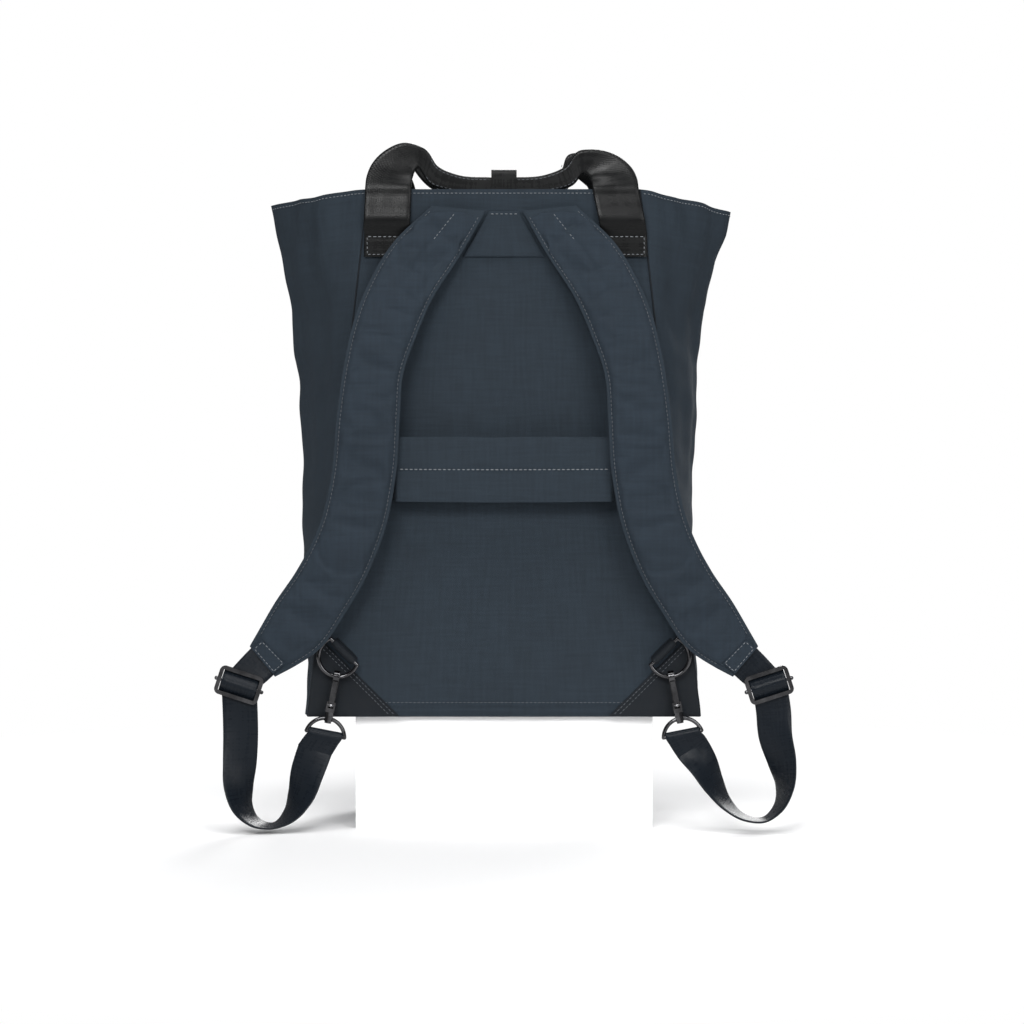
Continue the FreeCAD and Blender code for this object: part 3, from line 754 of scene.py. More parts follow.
@dataclass(frozen=True)
class Seam:
    """A row of machine stitches: pitch, stitch length and thread width in millimetres."""

    pitch: float = 3.1
    length: float = 1.95
    width: float = 0.5
    rise: float = 0.35
    rings: tuple = (-1.0, -0.8, 0.0, 0.8, 1.0)

    def skin(self, path: Array, normals: Array) -> Skin:
        """Lays stitches along a path.

        Formula: each stitch is a row of five rings, from one end to the other at s from -1 to 1;
        its radius is the root of 1.02 less s to the fourth, and its middle is lifted by 1 less s
        squared.

        Args:
            path: points along the seam, on the cloth.
            normals: directions out of the cloth at those points, or one for all of them.

        Returns:
            All stitches as one surface.
        """
        walked = walk(path)
        count = max(1, int(walked[-1] // self.pitch))
        place = (np.arange(count) + 0.5) * walked[-1] / count

        def pick(values: Array) -> Array:
            """Values of the path at the stitches."""
            return np.stack([np.interp(place, walked, values[:, k]) for k in range(3)], axis=-1)

        along, out = unit(pick(along_path(path))), unit(pick(np.broadcast_to(normals, path.shape)))
        side = unit(np.cross(along, out))
        middle, along, out, side = (part[:, None, None] for part in (pick(path), along, out, side))
        s = np.array(self.rings)[None, :, None, None]
        radius = self.width / 2 * np.sqrt(np.clip(1.02 - s ** 4, 0.02, 1.0))
        lift = self.width * self.rise * (1 - s ** 2)
        corners = 6
        turn = full_turn(corners)[None, None, :, None]
        points = (middle + along * s * self.length / 2 + out * (lift + radius * np.sin(turn))
                  + side * radius * np.cos(turn))
        size = len(self.rings) * corners
        one = grid_quads(len(self.rings), corners + 1)
        quads = one[..., 0] * corners + one[..., 1] % corners
        first = np.array([[0, 1, 2, 5], [5, 2, 3, 4]])
        last = size - 1 - np.array([[0, 3, 4, 5], [1, 2, 3, 0]])
        step = (np.arange(count) * size)[:, None, None]
        faces = np.concatenate((quads, first, last))[None] + step
        return Skin(points.reshape(-1, 3), faces.reshape(-1, 4))


FINE_SEAM = Seam()
HEAVY_SEAM = Seam(pitch=3.5, length=2.35, width=0.72)


def join_skins(skins: list[Skin]) -> Skin:
    """Several surfaces of quads as one."""
    offset = np.cumsum([0] + [len(skin.points) for skin in skins[:-1]])
    quads = np.concatenate([skin.quads + start for skin, start in zip(skins, offset)])
    return Skin(np.concatenate([skin.points for skin in skins]), quads)


def spots_of(mesh: bpy.types.Mesh) -> Array:
    """Places of a mesh's vertices, in metres."""
    spots = np.zeros(len(mesh.vertices) * 3)
    mesh.vertices.foreach_get("co", spots)
    return spots.reshape(-1, 3)


def nearest_rows(spots: Array, middle: Array) -> Array:
    """Number of the nearest point of a line for each spot, worked out in eight parts."""
    return np.concatenate([np.argmin(np.sum((part[:, None] - middle[None]) ** 2, axis=2), axis=1)
                           for part in np.array_split(spots, 8)])


def evaluated(work: bpy.types.Object) -> bpy.types.Mesh:
    """A new mesh that has an object's modifiers applied."""
    return bpy.data.meshes.new_from_object(work.evaluated_get(bpy.context.evaluated_depsgraph_get()))


def modified(mesh: bpy.types.Mesh, kind: str, **settings: object) -> bpy.types.Mesh:
    """Applies one modifier to a mesh.

    Args:
        mesh: the mesh, which stays as it is.
        kind: the modifier's type.
        settings: the modifier's options.

    Returns:
        The new mesh.
    """
    work = bpy.data.objects.new("work", mesh)
    bpy.context.scene.collection.objects.link(work)
    modifier = work.modifiers.new("change", kind)
    for key, value in settings.items():
        setattr(modifier, key, value)
    made = evaluated(work)
    bpy.data.objects.remove(work)
    return made


# ---------------------------------------------------------------- bag shell


@dataclass
class BagShell:
    """The soft body of the bag: two trapezoid walls, folding sides with ears, and the base.

    A side's crease is its outermost line, and crease_halves are its distances from the bag's
    middle at crease_heights. Waves are wavelengths of the cloth's unevenness, and falls are the
    distances over which a seam's dip fades.
    """

    height: float = 396.0
    depth: float = 130.0
    base_half: float = 148.0
    top_half: float = 102.0
    wall: float = 2.2
    hem: float = 13.0
    backing: float = 0.7
    ear_tips: dict = field(default_factory=lambda: {"left": 385.0, "right": 379.5})
    crease_heights: tuple = (0.0, 90.0, 172.0, 265.0, 305.0, 342.0, 362.0, 396.0)
    crease_halves: dict = field(default_factory=lambda: {
        "left": (149.0, 153.6, 154.2, 155.8, 160.6, 169.0, 173.0, 180.0),
        "right": (147.6, 145.6, 144.2, 148.4, 151.2, 159.8, 166.6, 174.5)})
    seeds: dict = field(default_factory=lambda: {"back": 3, "front": 8, "left": 5, "right": 11})
    phases: dict = field(default_factory=lambda: {"left": 0.6, "right": 2.2})
    sags: dict = field(default_factory=lambda: {"back": 1.3, "front": 5.0})
    relief: float = 0.7
    relief_wave: float = 120.0
    sag_wave: float = 95.0
    hem_wave: float = 27.0
    hem_fall: float = 12.0
    hem_swing: float = 0.35
    seam_sink: float = 3.0
    seam_fall: float = 2.2
    side_fall: float = 1.8
    foot_fall: float = 2.6
    foot_level: float = 11.0
    groove_level: float = 7.0
    groove_half: float = 1.1
    bow_power: float = 1.35
    fold_wave: float = 58.0
    dent_wave: float = 40.0
    wrinkle_fall: float = 34.0
    stitch_inset: float = 3.0
    seam_radius: float = 0.75

    def side(self, z: Array) -> Array:
        """Half the width of a wall: straight from the base to the top edge."""
        return self.base_half + (self.top_half - self.base_half) * z / self.height

    def wall_depth(self, x: Array, z: Array, name: str) -> Array:
        """How far a wall's outer face lies inside its flat plane.

        Formula: a sag that is a parabola across times a half sine up, a soft relief in step with
        it, a short ripple that fades below the top edge, a fall towards the side seams and the
        base edge that fades over a few millimetres, and a shallow groove above the base edge.

        Args:
            x: places across.
            z: places up.
            name: back or front.

        Returns:
            Depth in millimetres.
        """
        seed = self.seeds[name]
        belly = np.clip(1 - (x / self.side(z)) ** 2, 0, 1) * np.sin(math.pi * np.clip(z / self.height, 0, 1))
        soft = self.relief * (1.0 + ripple(x, z, seed, self.relief_wave)) * 0.5
        sag = self.sags[name] * belly * (1 + 0.35 * ripple(x, z, seed + 1, self.sag_wave))
        wave = np.sin(x * 2 * math.pi / self.hem_wave + 1.3)
        hem = self.hem_swing * (1 + wave) * fading(self.height - z, self.hem_fall)
        edge = self.seam_sink * fading(self.side(z) - np.abs(x), self.seam_fall)
        groove = 0.8 * bell(z - self.groove_level, self.groove_half)
        return soft + sag + hem + edge + (self.seam_sink * fading(z, self.foot_fall) + groove)

    def panel(self, name: str, sign: float, plane: float, body: str) -> None:
        """Makes one wall and its lining.

        Formula: a grid over share-of-width and height; outer face at the plane plus sign times
        the depth of the relief, and a backing inside it that ends at the hem.

        Args:
            name: back or front.
            sign: 1 where the inside of the bag is at higher y, else -1.
            plane: y of the wall's outer face.
            body: the body that it rides on.
        """
        z = (self.height * (1 + crowded(133)) / 2)[:, None]
        x = crowded(97)[None, :] * self.side(z)
        sunk = self.wall_depth(x, z, name)
        backing = self.backing / (1 + np.exp((self.height - self.hem - z) * -4.0))
        outer = grid(x, plane + sign * sunk, z)
        inner = grid(x, plane + sign * (sunk + self.wall + backing), z)
        add_piece(f"{name}_wall", shell_skin(outer, inner), [SHELL], body, (f"{name}_panel",))
        rows = z[:, 0] < self.height - self.hem
        start = grid(x * 0.985, plane + sign * (sunk + self.wall + 0.1), z)[rows]
        end = start - OUTWARD * sign * self.backing
        add_piece(f"{name}_inner_lining", shell_skin(start, end), [LINING], body,
                  (f"{name}_lining",))
        top = self.height - self.stitch_inset
        for row, level, thread in (("hem", top, PALE_THREAD), ("foot", self.foot_level, DIM_THREAD)):
            reach = self.side(level) - self.stitch_inset
            x = np.linspace(-reach, reach, 120)
            path = grid(x, plane + sign * (self.wall_depth(x, level, name) - 0.1), level)
            add_piece(f"{name}_{row}_stitches", FINE_SEAM.skin(path, OUTWARD * sign), [thread], body)

    def side_point(self, t: Array, v: Array, side: str, inset: float = 0.0) -> Array:
        """A point of a folding side.

        Formula: x runs from the wall's edge out to the crease and back as 1 - |2t - 1| to the
        bow's power; z is the share v of the height of the top edge there, which falls towards
        the ear's tip; a relief that grows towards the top bends the cloth, and the two seams
        sink by an exponential.

        Args:
            t: share of the depth, from the back seam to the front seam.
            v: share of the height.
            side: left or right.
            inset: distance inwards from the outer face.

        Returns:
            Points of the bag frame.
        """
        t, v = np.broadcast_arrays(t, v)
        bow = 1 - np.abs(2 * t - 1) ** self.bow_power
        top = self.height - (self.height - self.ear_tips[side]) * bow ** 1.15
        top = top + 0.8 * np.sin(bow * 9.0 + self.phases[side]) * bow * (1 - bow) * 4
        z = v * top
        edge, seed = self.side(z), self.seeds[side]
        x = edge + (np.interp(z, self.crease_heights, self.crease_halves[side]) - edge) * bow
        sink = self.seam_sink * fading(np.minimum(t, 1 - t) * self.depth, self.side_fall)
        fold = ripple(t * self.depth * 1.6, z * 0.32, seed, self.fold_wave)
        dents = ripple(t * self.depth, z, seed + 1, self.dent_wave)
        relief = 1.9 * (0.5 + 1.3 * v ** 3) * fold + 0.8 * dents
        wrinkle = 1.5 * bell(top - z, self.wrinkle_fall) * np.sin(bow * 21.0 + z * 0.05)
        free = np.clip(np.minimum(t, 1 - t) * 9, 0, 1)
        x = x + (relief + wrinkle) * free - sink - inset
        y = t * self.depth + np.where(t < 0.5, 1.0, -1.0) * (sink + inset * 0.6 * (1 - bow))
        return grid(x * SIDES[side], y, z)

    def folding_side(self, side: str) -> None:
        """Makes one side with its ear, its lining and the stitches under its top edge.

        Args:
            side: left or right.
        """
        share = np.linspace(0, 1, 81)
        t = (share - np.sin(share * 4 * math.pi) / (8 * math.pi))[None, :]
        v = np.linspace(0, 1, 133)[:, None]
        outer, inner = self.side_point(t, v, side), self.side_point(t, v, side, inset=self.wall)
        add_piece(f"gusset_wall_{side}", shell_skin(outer, inner, lined=True), [SHELL, LINING], "root",
                  (f"gusset_{side}",), fold=True)
        s = np.linspace(0.012, 0.988, 160)
        path = self.side_point(s, 1 - self.stitch_inset / self.height, side)
        out = unit(np.cross(along_path(path), self.side_point(s, 0.98, side) - path))
        out = out * np.sign(np.sum(out * (path + OUTWARD * self.depth / 2), axis=1))[:, None]
        add_piece(f"ear_stitches_{side}", FINE_SEAM.skin(path, out), [PALE_THREAD], "root",
                  fold=True)

    def corner_seam(self, name: str, plane: float, sign: float) -> None:
        """Makes the rolled seams between a wall and the two sides, whose dark cloth is partly painted shade:
        the dark line stands in for the shade in the seam's valley.

        Formula: a thin rod that follows the wall's straight edge, sunk between the two cloths.

        Args:
            name: back or front.
            plane: y of the wall's outer face.
            sign: 1 where the inside of the bag is at higher y, else -1.
        """
        z = np.linspace(1.0, self.height - 0.5, 140)
        for side, way in SIDES.items():
            x = way * (self.side(z) - 0.4)
            y = plane + sign * (self.seam_sink - 0.25 + 0.15 * ripple(x, z, 4, 30.0))
            # Painted shade: the rod's dark cloth draws the seam's shadow as a dark line.
            add_piece(f"{name}_seam_{side}", rod_skin(grid(x, y, z), self.seam_radius, 8), [SHADED_PATCH], "root",
                      fold=name == "front")

    def base(self) -> None:
        """Makes the base, a thin slab whose edges rise by exponentials of their distances."""
        low, high = node_box("base_panel")
        x = np.linspace(low[0], high[0], 61)[None, :]
        y = np.linspace(low[1], high[1], 31)[:, None]
        fall = sum(fading(away, 3.0) for away in (high[0] - np.abs(x), y - low[1], high[1] - y))
        lower = grid(x, y, 0.1 + np.minimum(fall, 1.0))
        upper = lower + np.array([0.0, 0.0, self.wall])
        add_piece("base_wall", shell_skin(lower, upper, lined=True), [SHELL, LINING], "root",
                  ("base_panel",), fold=True)

    def build(self) -> None:
        """Makes the whole shell."""
        self.panel("back", 1.0, 0.0, "root")
        self.panel("front", -1.0, self.depth, "front")
        self.corner_seam("back", 0.0, 1.0)
        self.corner_seam("front", self.depth, -1.0)
        for side in SIDES:
            self.folding_side(side)
        self.base()


# ---------------------------------------------------------------- sewn-on pieces of the back


@dataclass
class BackTrim:
    """Yoke, corner patches, ring tabs, trolley sleeve and the pocket inside."""

    shell: BagShell
    sleeve_low: float = 163.5
    sleeve_high: float = 211.5
    sleeve_stand: float = 19.0
    sleeve_flat: float = 79.0
    sleeve_foot: float = 90.0
    sleeve_end: float = 98.0
    sleeve_wave: float = 46.0
    sleeve_puff: float = 0.55
    yoke_top_half: float = 11.0
    corner_rows: tuple = (1.8, 4.6)
    tab_stand: float = 7.2
    tab_radius: float = 3.0
    tab_reach: float = 3.4
    tab_rise: float = 3.2
    tab_half: float = 11.0

    def sleeve_path(self, x: Array) -> Array:
        """How far the sleeve stands off the back: a smooth step from its foot to its flat part."""
        share = smooth_step((self.sleeve_foot - np.abs(x)) / (self.sleeve_foot - self.sleeve_flat))
        return 1.0 + (self.sleeve_stand - 1.0) * share

    def sleeve_droop(self, x: Array) -> Array:
        """Half of how far the sleeve's lower edge hangs down: a cosine that ends at its ends."""
        return 0.45 * np.cos(x / self.sleeve_end * math.pi / 2)

    def sleeve(self) -> None:
        """Makes the sleeve: a doubled band that puffs between its edges, sewn along its middle."""
        flat = np.linspace(-self.sleeve_flat, self.sleeve_flat, 61)
        slope = np.linspace(self.sleeve_flat, self.sleeve_end, 22)[1:]
        x = np.concatenate((-slope[::-1], flat, slope))[None, :]
        rise = crowded(33)[:, None]
        middle, half = (self.sleeve_high + self.sleeve_low) / 2, (self.sleeve_high - self.sleeve_low) / 2
        z = middle + rise * half - self.sleeve_droop(x) * (1 - rise)
        soft = 0.35 * ripple(x, z, 21, self.sleeve_wave) - 0.5 * bell(z - middle, 1.4)
        puff = self.sleeve_puff * (1 - rise ** 8)
        outer = grid(x, -(self.sleeve_path(x) + puff + soft), z)
        inner = grid(x, -(self.sleeve_path(x) - puff), z)
        add_piece("sleeve_band", shell_skin(outer, inner), [SHELL], "root",
                  ("trolley_sleeve",))
        reach = self.sleeve_flat - 1.0
        run = np.linspace(-reach, reach, 90)
        path = grid(run, -(self.sleeve_path(run) + 0.4), middle - self.sleeve_droop(run))
        add_piece("sleeve_stitches", HEAVY_SEAM.skin(path, OUTWARD), [PALE_THREAD], "root")

    def patch_slab(self, name: str, corners: list, lift: float, kind: Cloth, node: str,
                   bulge: float) -> None:
        """Makes a flat patch with four corners and softened edges.

        Formula: corners blended by the two shares, lifted by an exponential that drops to the
        cloth at the rim, and by a little more towards the middle.

        Args:
            name: the piece's name.
            corners: x and z of four corners, in order round the patch.
            lift: height of its face off the cloth.
            kind: its finish.
            node: the CAD node that it replaces.
            bulge: extra height in the middle.
        """
        share = crowded(33) * 0.5 + 0.5
        a, b = share[None, :, None], share[:, None, None]
        c = [np.array(corner, float) for corner in corners]
        flat = (1 - b) * ((1 - a) * c[0] + a * c[1]) + b * ((1 - a) * c[3] + a * c[2])
        rim = np.minimum(np.minimum(a, 1 - a), np.minimum(b, 1 - b))[..., 0]
        height = lift * (1 - np.exp(-rim * 60.0)) + bulge * rim * 2
        outer = grid(flat[..., 0], -0.15 - height, flat[..., 1])
        inner = grid(flat[..., 0], 0.9, flat[..., 1])
        add_piece(name, shell_skin(outer, inner), [kind], "root", (node,))

    def yoke(self) -> None:
        """Makes the trapezoid between the straps with its dotted top seam."""
        low, high = node_box("back_yoke")
        top = self.yoke_top_half
        corners = [(-high[0], low[2]), (high[0], low[2]), (top, high[2]), (-top, high[2])]
        self.patch_slab("yoke_cloth", corners, 0.7, SHELL, "back_yoke", 0.25)
        level = high[2] - 2.0
        path = line((-top + 0.5, -0.95, level), (top - 0.5, -0.95, level))
        add_piece("yoke_stitches", FINE_SEAM.skin(path, OUTWARD), [PALE_THREAD], "root")

    def corner(self, side: str) -> None:
        """Makes a lower corner patch, edged by two rows of stitches along its slope.

        Args:
            side: left or right.
        """
        sign = SIDES[side]
        low, high = node_box(f"corner_patch_{side}")
        foot, top = min(abs(low[0]), abs(high[0])), high[2]
        tip = self.shell.side(top)
        corners = [(sign * x, z) for x, z in ((foot + 0.6, 0.6), (self.shell.base_half, 0.6), (tip, top),
                                              ((foot + tip) / 2, top / 2))]
        if sign < 0:
            corners = [corners[k] for k in (1, 0, 3, 2)]
        # The corner patch's dark colour is partly painted shade of the lower corner.
        self.patch_slab(f"corner_cloth_{side}", corners, 0.8, SHADED_PATCH, f"corner_patch_{side}",
                        0.05)
        slope = unit(np.array([tip - foot, 0.0, top]))
        inward = np.array([slope[2], 0.0, -slope[0]])
        rows = []
        for offset in self.corner_rows:
            shift, margin = inward * offset + OUTWARD, slope * (3.0 + offset)
            start, end = np.array([foot, 0.0, 0.0]) + margin, np.array([tip, 0.0, top]) - margin
            rows.append(FINE_SEAM.skin(line(start + shift, end + shift) * mirror(side), OUTWARD))
        add_piece(f"corner_stitches_{side}", join_skins(rows), [DIM_THREAD], "root")

    def ring_tab(self, side: str) -> None:
        """Makes the folded tab that holds a ring's straight bar.

        Formula: a teardrop section, a circle round the bar drawn out to the cloth, carried
        along the bar's slanting line.

        Args:
            side: left or right.
        """
        sign, slant = SIDES[side], math.sqrt(0.5)
        low, high = node_box(f"ring_tab_{side}")
        along, up = np.array([sign * slant, 0.0, slant]), np.array([-sign * slant, 0.0, slant])
        turn = full_turn(28)
        out, into = self.tab_radius * np.cos(turn), np.clip(-np.cos(turn), 0, 1)
        deep = out - into * self.tab_reach
        lift = self.tab_radius * np.sin(turn) * (1 - 0.25 * into) + into * self.tab_rise
        place = np.linspace(-1, 1, 21)[:, None, None]
        shrink = (1 - 0.12 * np.abs(place) ** 6)[..., 0]
        middle = np.array([(low[0] + high[0]) / 2, -self.tab_stand, (low[2] + high[2]) / 2])
        points = (middle + along * self.tab_half * place + OUTWARD * (deep * shrink)[..., None]
                  + up * (lift * shrink)[..., None])
        add_piece(f"ring_loop_{side}", loop_skin(points), [SHADED_PATCH], "root",
                  (f"ring_tab_{side}",))

    def pocket(self) -> None:
        """Makes the slip pocket inside the back: a wall that bows between its sides and its foot."""
        low, high = node_box("laptop_pocket")
        share, rise = np.linspace(0, 1, 61)[None, :], np.linspace(0, 1, 41)[:, None]
        x, z = low[0] + share * (high[0] - low[0]), low[2] + rise * (high[2] - low[2])
        bow = (1 - np.abs(2 * share - 1) ** 6) * (1 - (1 - rise) ** 8)
        y = low[1] + 1.0 + (high[1] - low[1] - 2.6) * bow
        add_piece("slip_pocket", shell_skin(grid(x, y + 1.4, z), grid(x, y, z)), [LINING], "root",
                  ("laptop_pocket",))

    def build(self) -> None:
        """Makes every sewn-on piece of the back."""
        self.sleeve()
        self.yoke()
        for side in SIDES:
            self.corner(side)
            self.ring_tab(side)
        self.pocket()


# ---------------------------------------------------------------- shoulder straps


@dataclass
class ShoulderStrap:
    """One padded shoulder strap with its turned edge, seams, end patch and tail.

    A station holds shares of the reach across and of the fall from level to level, the strap's
    half-width vector across and up as shares of half_width, its share of the stand off the back
    and its share of the pad's thickness.
    """

    side: str
    pad: float = 12.0
    lip: float = 0.9
    stitch_inset: float = 3.0
    stuffing: float = 0.74
    quilted: float = 0.17
    reach: tuple = (33.7, 180.5)
    level: tuple = (381.5, 43.5)
    stand: tuple = (1.6, 20.0)
    half_width: float = 24.0
    power_across: float = 0.7
    power_out: float = 0.8
    voxel: float = 0.0034
    swell_cap: float = 2.6
    spine_count: int = 300
    end_half: float = 12.2
    stations: tuple = (
        (0.000, 0.000, 0.846, 0.083, 0.00, 0.34),
        (0.162, 0.090, 1.021, 0.238, 0.12, 0.75),
        (0.286, 0.175, 0.967, 0.312, 0.38, 0.92),
        (0.373, 0.265, 0.938, 0.333, 0.66, 1.00),
        (0.428, 0.351, 0.917, 0.188, 0.88, 1.00),
        (0.455, 0.450, 0.979, 0.033, 1.00, 1.00),
        (0.479, 0.580, 1.000, 0.062, 1.00, 1.00),
        (0.531, 0.690, 0.967, 0.250, 0.98, 1.00),
        (0.617, 0.783, 0.867, 0.500, 0.90, 1.00),
        (0.697, 0.843, 0.792, 0.604, 0.80, 0.95),
        (0.823, 0.922, 0.712, 0.700, 0.66, 0.85),
        (0.925, 0.970, 0.562, 0.562, 0.58, 0.72),
        (1.000, 1.000, 0.396, 0.479, 0.54, 0.58),
    )

    @property
    def body(self) -> str:
        """The body that the strap is."""
        return f"strap_{self.side}"

    def spine(self, count: int) -> tuple[Array, Array, Array]:
        """The strap's middle line.

        Args:
            count: points wanted.

        Returns:
            Centres, half-width vectors and half-thickness along the strap.
        """
        out, down, across, up, away, thick = np.array(self.stations).T
        x = self.reach[0] + out * (self.reach[1] - self.reach[0])
        y = -self.stand[0] - away * self.stand[1] - thick * self.pad / 2
        z = self.level[0] - down * (self.level[0] - self.level[1])
        half, flip = self.half_width, mirror(self.side)
        rows = smooth(np.stack([x, y, z, across * half, up * half, thick * self.pad / 2], axis=-1), count)
        return rows[:, :3] * flip, grid(rows[:, 3], 0, rows[:, 4]) * flip, rows[:, 5]

    def pad_rise(self, share: Array) -> Array:
        """Height of the pad's face as a share of its middle height.

        Formula: the angle whose cosine to the power across is the share, and then that angle's
        sine to the power out.

        Args:
            share: place across, from 0 in the middle to 1 at the edge.

        Returns:
            Shares from 1 in the middle to 0 at the edge.
        """
        cosine = np.abs(share) ** (1 / self.power_across)
        return np.sqrt(np.clip(1 - cosine ** 2, 0, 1)) ** self.power_out

    def pad_skin(self) -> Skin:
        """The part to be stuffed, drawn in from the edge by the lip.

        Formula: section points lie across by a turn's cosine to the power across, and out by
        its sine to the power out, so that the faces are full and the edges thin.

        Returns:
            The closed pad.
        """
        centres, widths, thick = self.spine(150)
        half = np.linalg.norm(widths, axis=1) - self.lip
        face = unit(np.cross(along_path(centres), widths))
        cosine, sine = squared_turn(44, self.power_across, self.power_out)
        full = (thick * self.stuffing)[:, None, None]
        points = (centres[:, None] + unit(widths)[:, None] * (half[:, None, None] * cosine[None, :, None])
                  + face[:, None] * full * sine[None, :, None])
        return loop_skin(points)

    def stuffed(self, mesh: bpy.types.Mesh) -> bpy.types.Mesh:
        """Fills the pad by a short cloth simulation.

        The mesh is rebuilt in even quads, its thin edge is pinned, pressure swells the faces and a
        little spare cloth buckles into soft creases; no point moves further than the cap.

        Args:
            mesh: the closed pad.

        Returns:
            The swollen mesh.
        """
        scene = bpy.context.scene
        rebuilt = modified(mesh, "REMESH", mode="VOXEL", voxel_size=self.voxel)
        rest = spots_of(rebuilt)
        centres, widths, _ = self.spine(self.spine_count)
        middle = to_part(centres)
        nearest = nearest_rows(rest, middle)
        across = np.abs(np.sum((rest - middle[nearest]) * unit(widths)[nearest], axis=1)) / MM
        half = np.linalg.norm(widths, axis=1)[nearest] - self.lip
        edge = (across > half * 0.80) | (nearest < 10) | (nearest > self.spine_count - 11)
        work = bpy.data.objects.new("pad_cloth", rebuilt)
        scene.collection.objects.link(work)
        work.vertex_groups.new(name="sewn").add(np.flatnonzero(edge).tolist(), 1.0, "REPLACE")
        cloth = work.modifiers.new("fill", "CLOTH")
        settings = {"quality": 6, "mass": 0.2, "tension_stiffness": 25, "compression_stiffness": 12,
                    "bending_stiffness": 0.25, "use_pressure": True, "uniform_pressure_force": 4.0,
                    "shrink_min": -0.045, "vertex_group_mass": "sewn"}
        for key, value in settings.items():
            setattr(cloth.settings, key, value)
        cloth.settings.effector_weights.gravity = 0.0
        cloth.collision_settings.use_collision = False
        for step in range(1, 21):
            scene.frame_set(step)
        shift = spots_of(evaluated(work)) - rest
        length = np.linalg.norm(shift, axis=1, keepdims=True)
        shift *= np.minimum(1.0, self.swell_cap * MM / np.maximum(length, 1e-9))
        rebuilt.vertices.foreach_set("co", (rest + shift).ravel())
        bpy.data.objects.remove(work)
        scene.frame_set(1)
        rebuilt.update()
        return rebuilt

    def groove(self, mesh: bpy.types.Mesh) -> None:
        """Draws the cloth in along the stitches, after the mesh is subdivided.

        Formula: each point moves towards the strap's middle plane by bell curves of its distance
        from the stitch lines; the one along the middle fades out below the quilted part.

        Args:
            mesh: the padded mesh, in metres.
        """
        spots = spots_of(mesh)
        centres, widths, _ = self.spine(self.spine_count)
        middle = to_part(centres)
        face = unit(np.cross(along_path(centres), widths))
        nearest = nearest_rows(spots, middle)
        away = (spots - middle[nearest]) / MM
        across = np.abs(np.sum(away * unit(widths)[nearest], axis=1))
        from_edge = np.linalg.norm(widths, axis=1)[nearest] - across
        rise = np.sum(away * face[nearest], axis=1)
        upper = 1 / (1 + np.exp((nearest - self.quilted * self.spine_count) / 4.0))
        dip = 0.32 * bell(from_edge - self.stitch_inset, 1.5) + 0.30 * upper * bell(across, 2.2)
        spots = spots - face[nearest] * (rise * dip)[:, None] * MM
        mesh.vertices.foreach_set("co", spots.ravel())
        mesh.update()

    def build_pad(self) -> None:
        """Makes the padded part: stuffed, subdivided once and drawn in along its stitches."""
        mesh = self.stuffed(self.pad_skin().mesh("strap_pad_source"))
        fine = modified(mesh, "SUBSURF", levels=1, render_levels=1)
        self.groove(fine)
        fine.shade_smooth()
        self.centre_row(fine)
        piece = add_piece(f"strap_pad_{self.side}", fine, [SHELL_PADDED], self.body,
                          (f"strap_cover_{self.side}", f"strap_foam_{self.side}"))

    def centre_row(self, mesh: bpy.types.Mesh) -> None:
        """Stitches the middle of the strap's upper end, on the surface of the finished pad.

        Args:
            mesh: the padded mesh, in metres.
        """
        spots = [vertex.co for vertex in mesh.vertices]
        tree = BVHTree.FromPolygons(spots, [tuple(face.vertices) for face in mesh.polygons])
        centres, widths, _ = self.spine(self.spine_count)
        part = slice(4, int(self.quilted * self.spine_count / 2))
        face = self.out_of_back(centres, widths)[part]
        starts = to_part(centres[part] + face * 30.0)
        hits = [tree.ray_cast(Vector(start), Vector(-way))[0] for start, way in zip(starts, face)]
        path = (np.array([tuple(hit) for hit in hits]) - ORIGIN) / MM
        add_piece(f"strap_centre_stitches_{self.side}", FINE_SEAM.skin(path, face), [PALE_THREAD], self.body)

    def out_of_back(self, centres: Array, widths: Array) -> Array:
        """Unit directions out of the strap's visible face."""
        face = unit(np.cross(along_path(centres), widths))
        return face * np.sign(np.sum(face * OUTWARD, axis=1))[:, None]

    def build_edge(self) -> None:
        """Makes the turned edge round the pad and the stitches on both its faces."""
        centres, widths, thick = self.spine(220)
        turned = band_skin(centres, widths, self.lip, flat=15)
        add_piece(f"strap_edge_{self.side}", turned, [SHELL], self.body)
        reach = np.linalg.norm(widths, axis=1)
        rise = self.pad_rise((reach - self.stitch_inset) / (reach - self.lip)) * 0.68
        height = (thick * self.stuffing * rise + 0.05)[:, None]
        face = self.out_of_back(centres, widths)
        part = slice(3, -8)
        rows = []
        for sign in (-1.0, 1.0):
            edge = centres + unit(widths) * (sign * (reach - self.stitch_inset))[:, None]
            rows += [FINE_SEAM.skin((edge + face * out * height)[part], face[part] * out)
                     for out in (1.0, -1.0)]
        add_piece(f"strap_stitches_{self.side}", join_skins(rows), [DIM_THREAD], self.body)

    def build_end(self) -> None:
        """Makes the strip over the strap's end: a narrow cover with a box of stitches."""
        centres, widths, thick = self.spine(480)
        part = slice(-16, -1)
        face, across = self.out_of_back(centres, widths)[part], unit(widths[part])
        patch = centres[part] + face * (thick[part] * self.stuffing + 0.5)[:, None]
        add_piece(f"strap_end_cover_{self.side}", band_skin(patch, across * self.end_half, 0.5, flat=9),
                  [SHELL_PADDED], self.body, (f"strap_end_patch_{self.side}",))
        top, inset = patch + face * 0.55, across * (self.end_half - 1.2)
        rows = [FINE_SEAM.skin(line((top - inset)[k], (top + inset)[k]), face[k]) for k in (1, -3)]
        rows += [FINE_SEAM.skin((top + inset * sign)[1:-2], face[1:-2]) for sign in (-1.0, 1.0)]
        add_piece(f"strap_end_stitches_{self.side}", join_skins(rows), [PALE_THREAD], self.body)

    def build(self) -> None:
        """Makes the whole strap."""
        self.build_pad()
        self.build_edge()
        self.build_end()


# ---------------------------------------------------------------- webbing, sliders and hooks


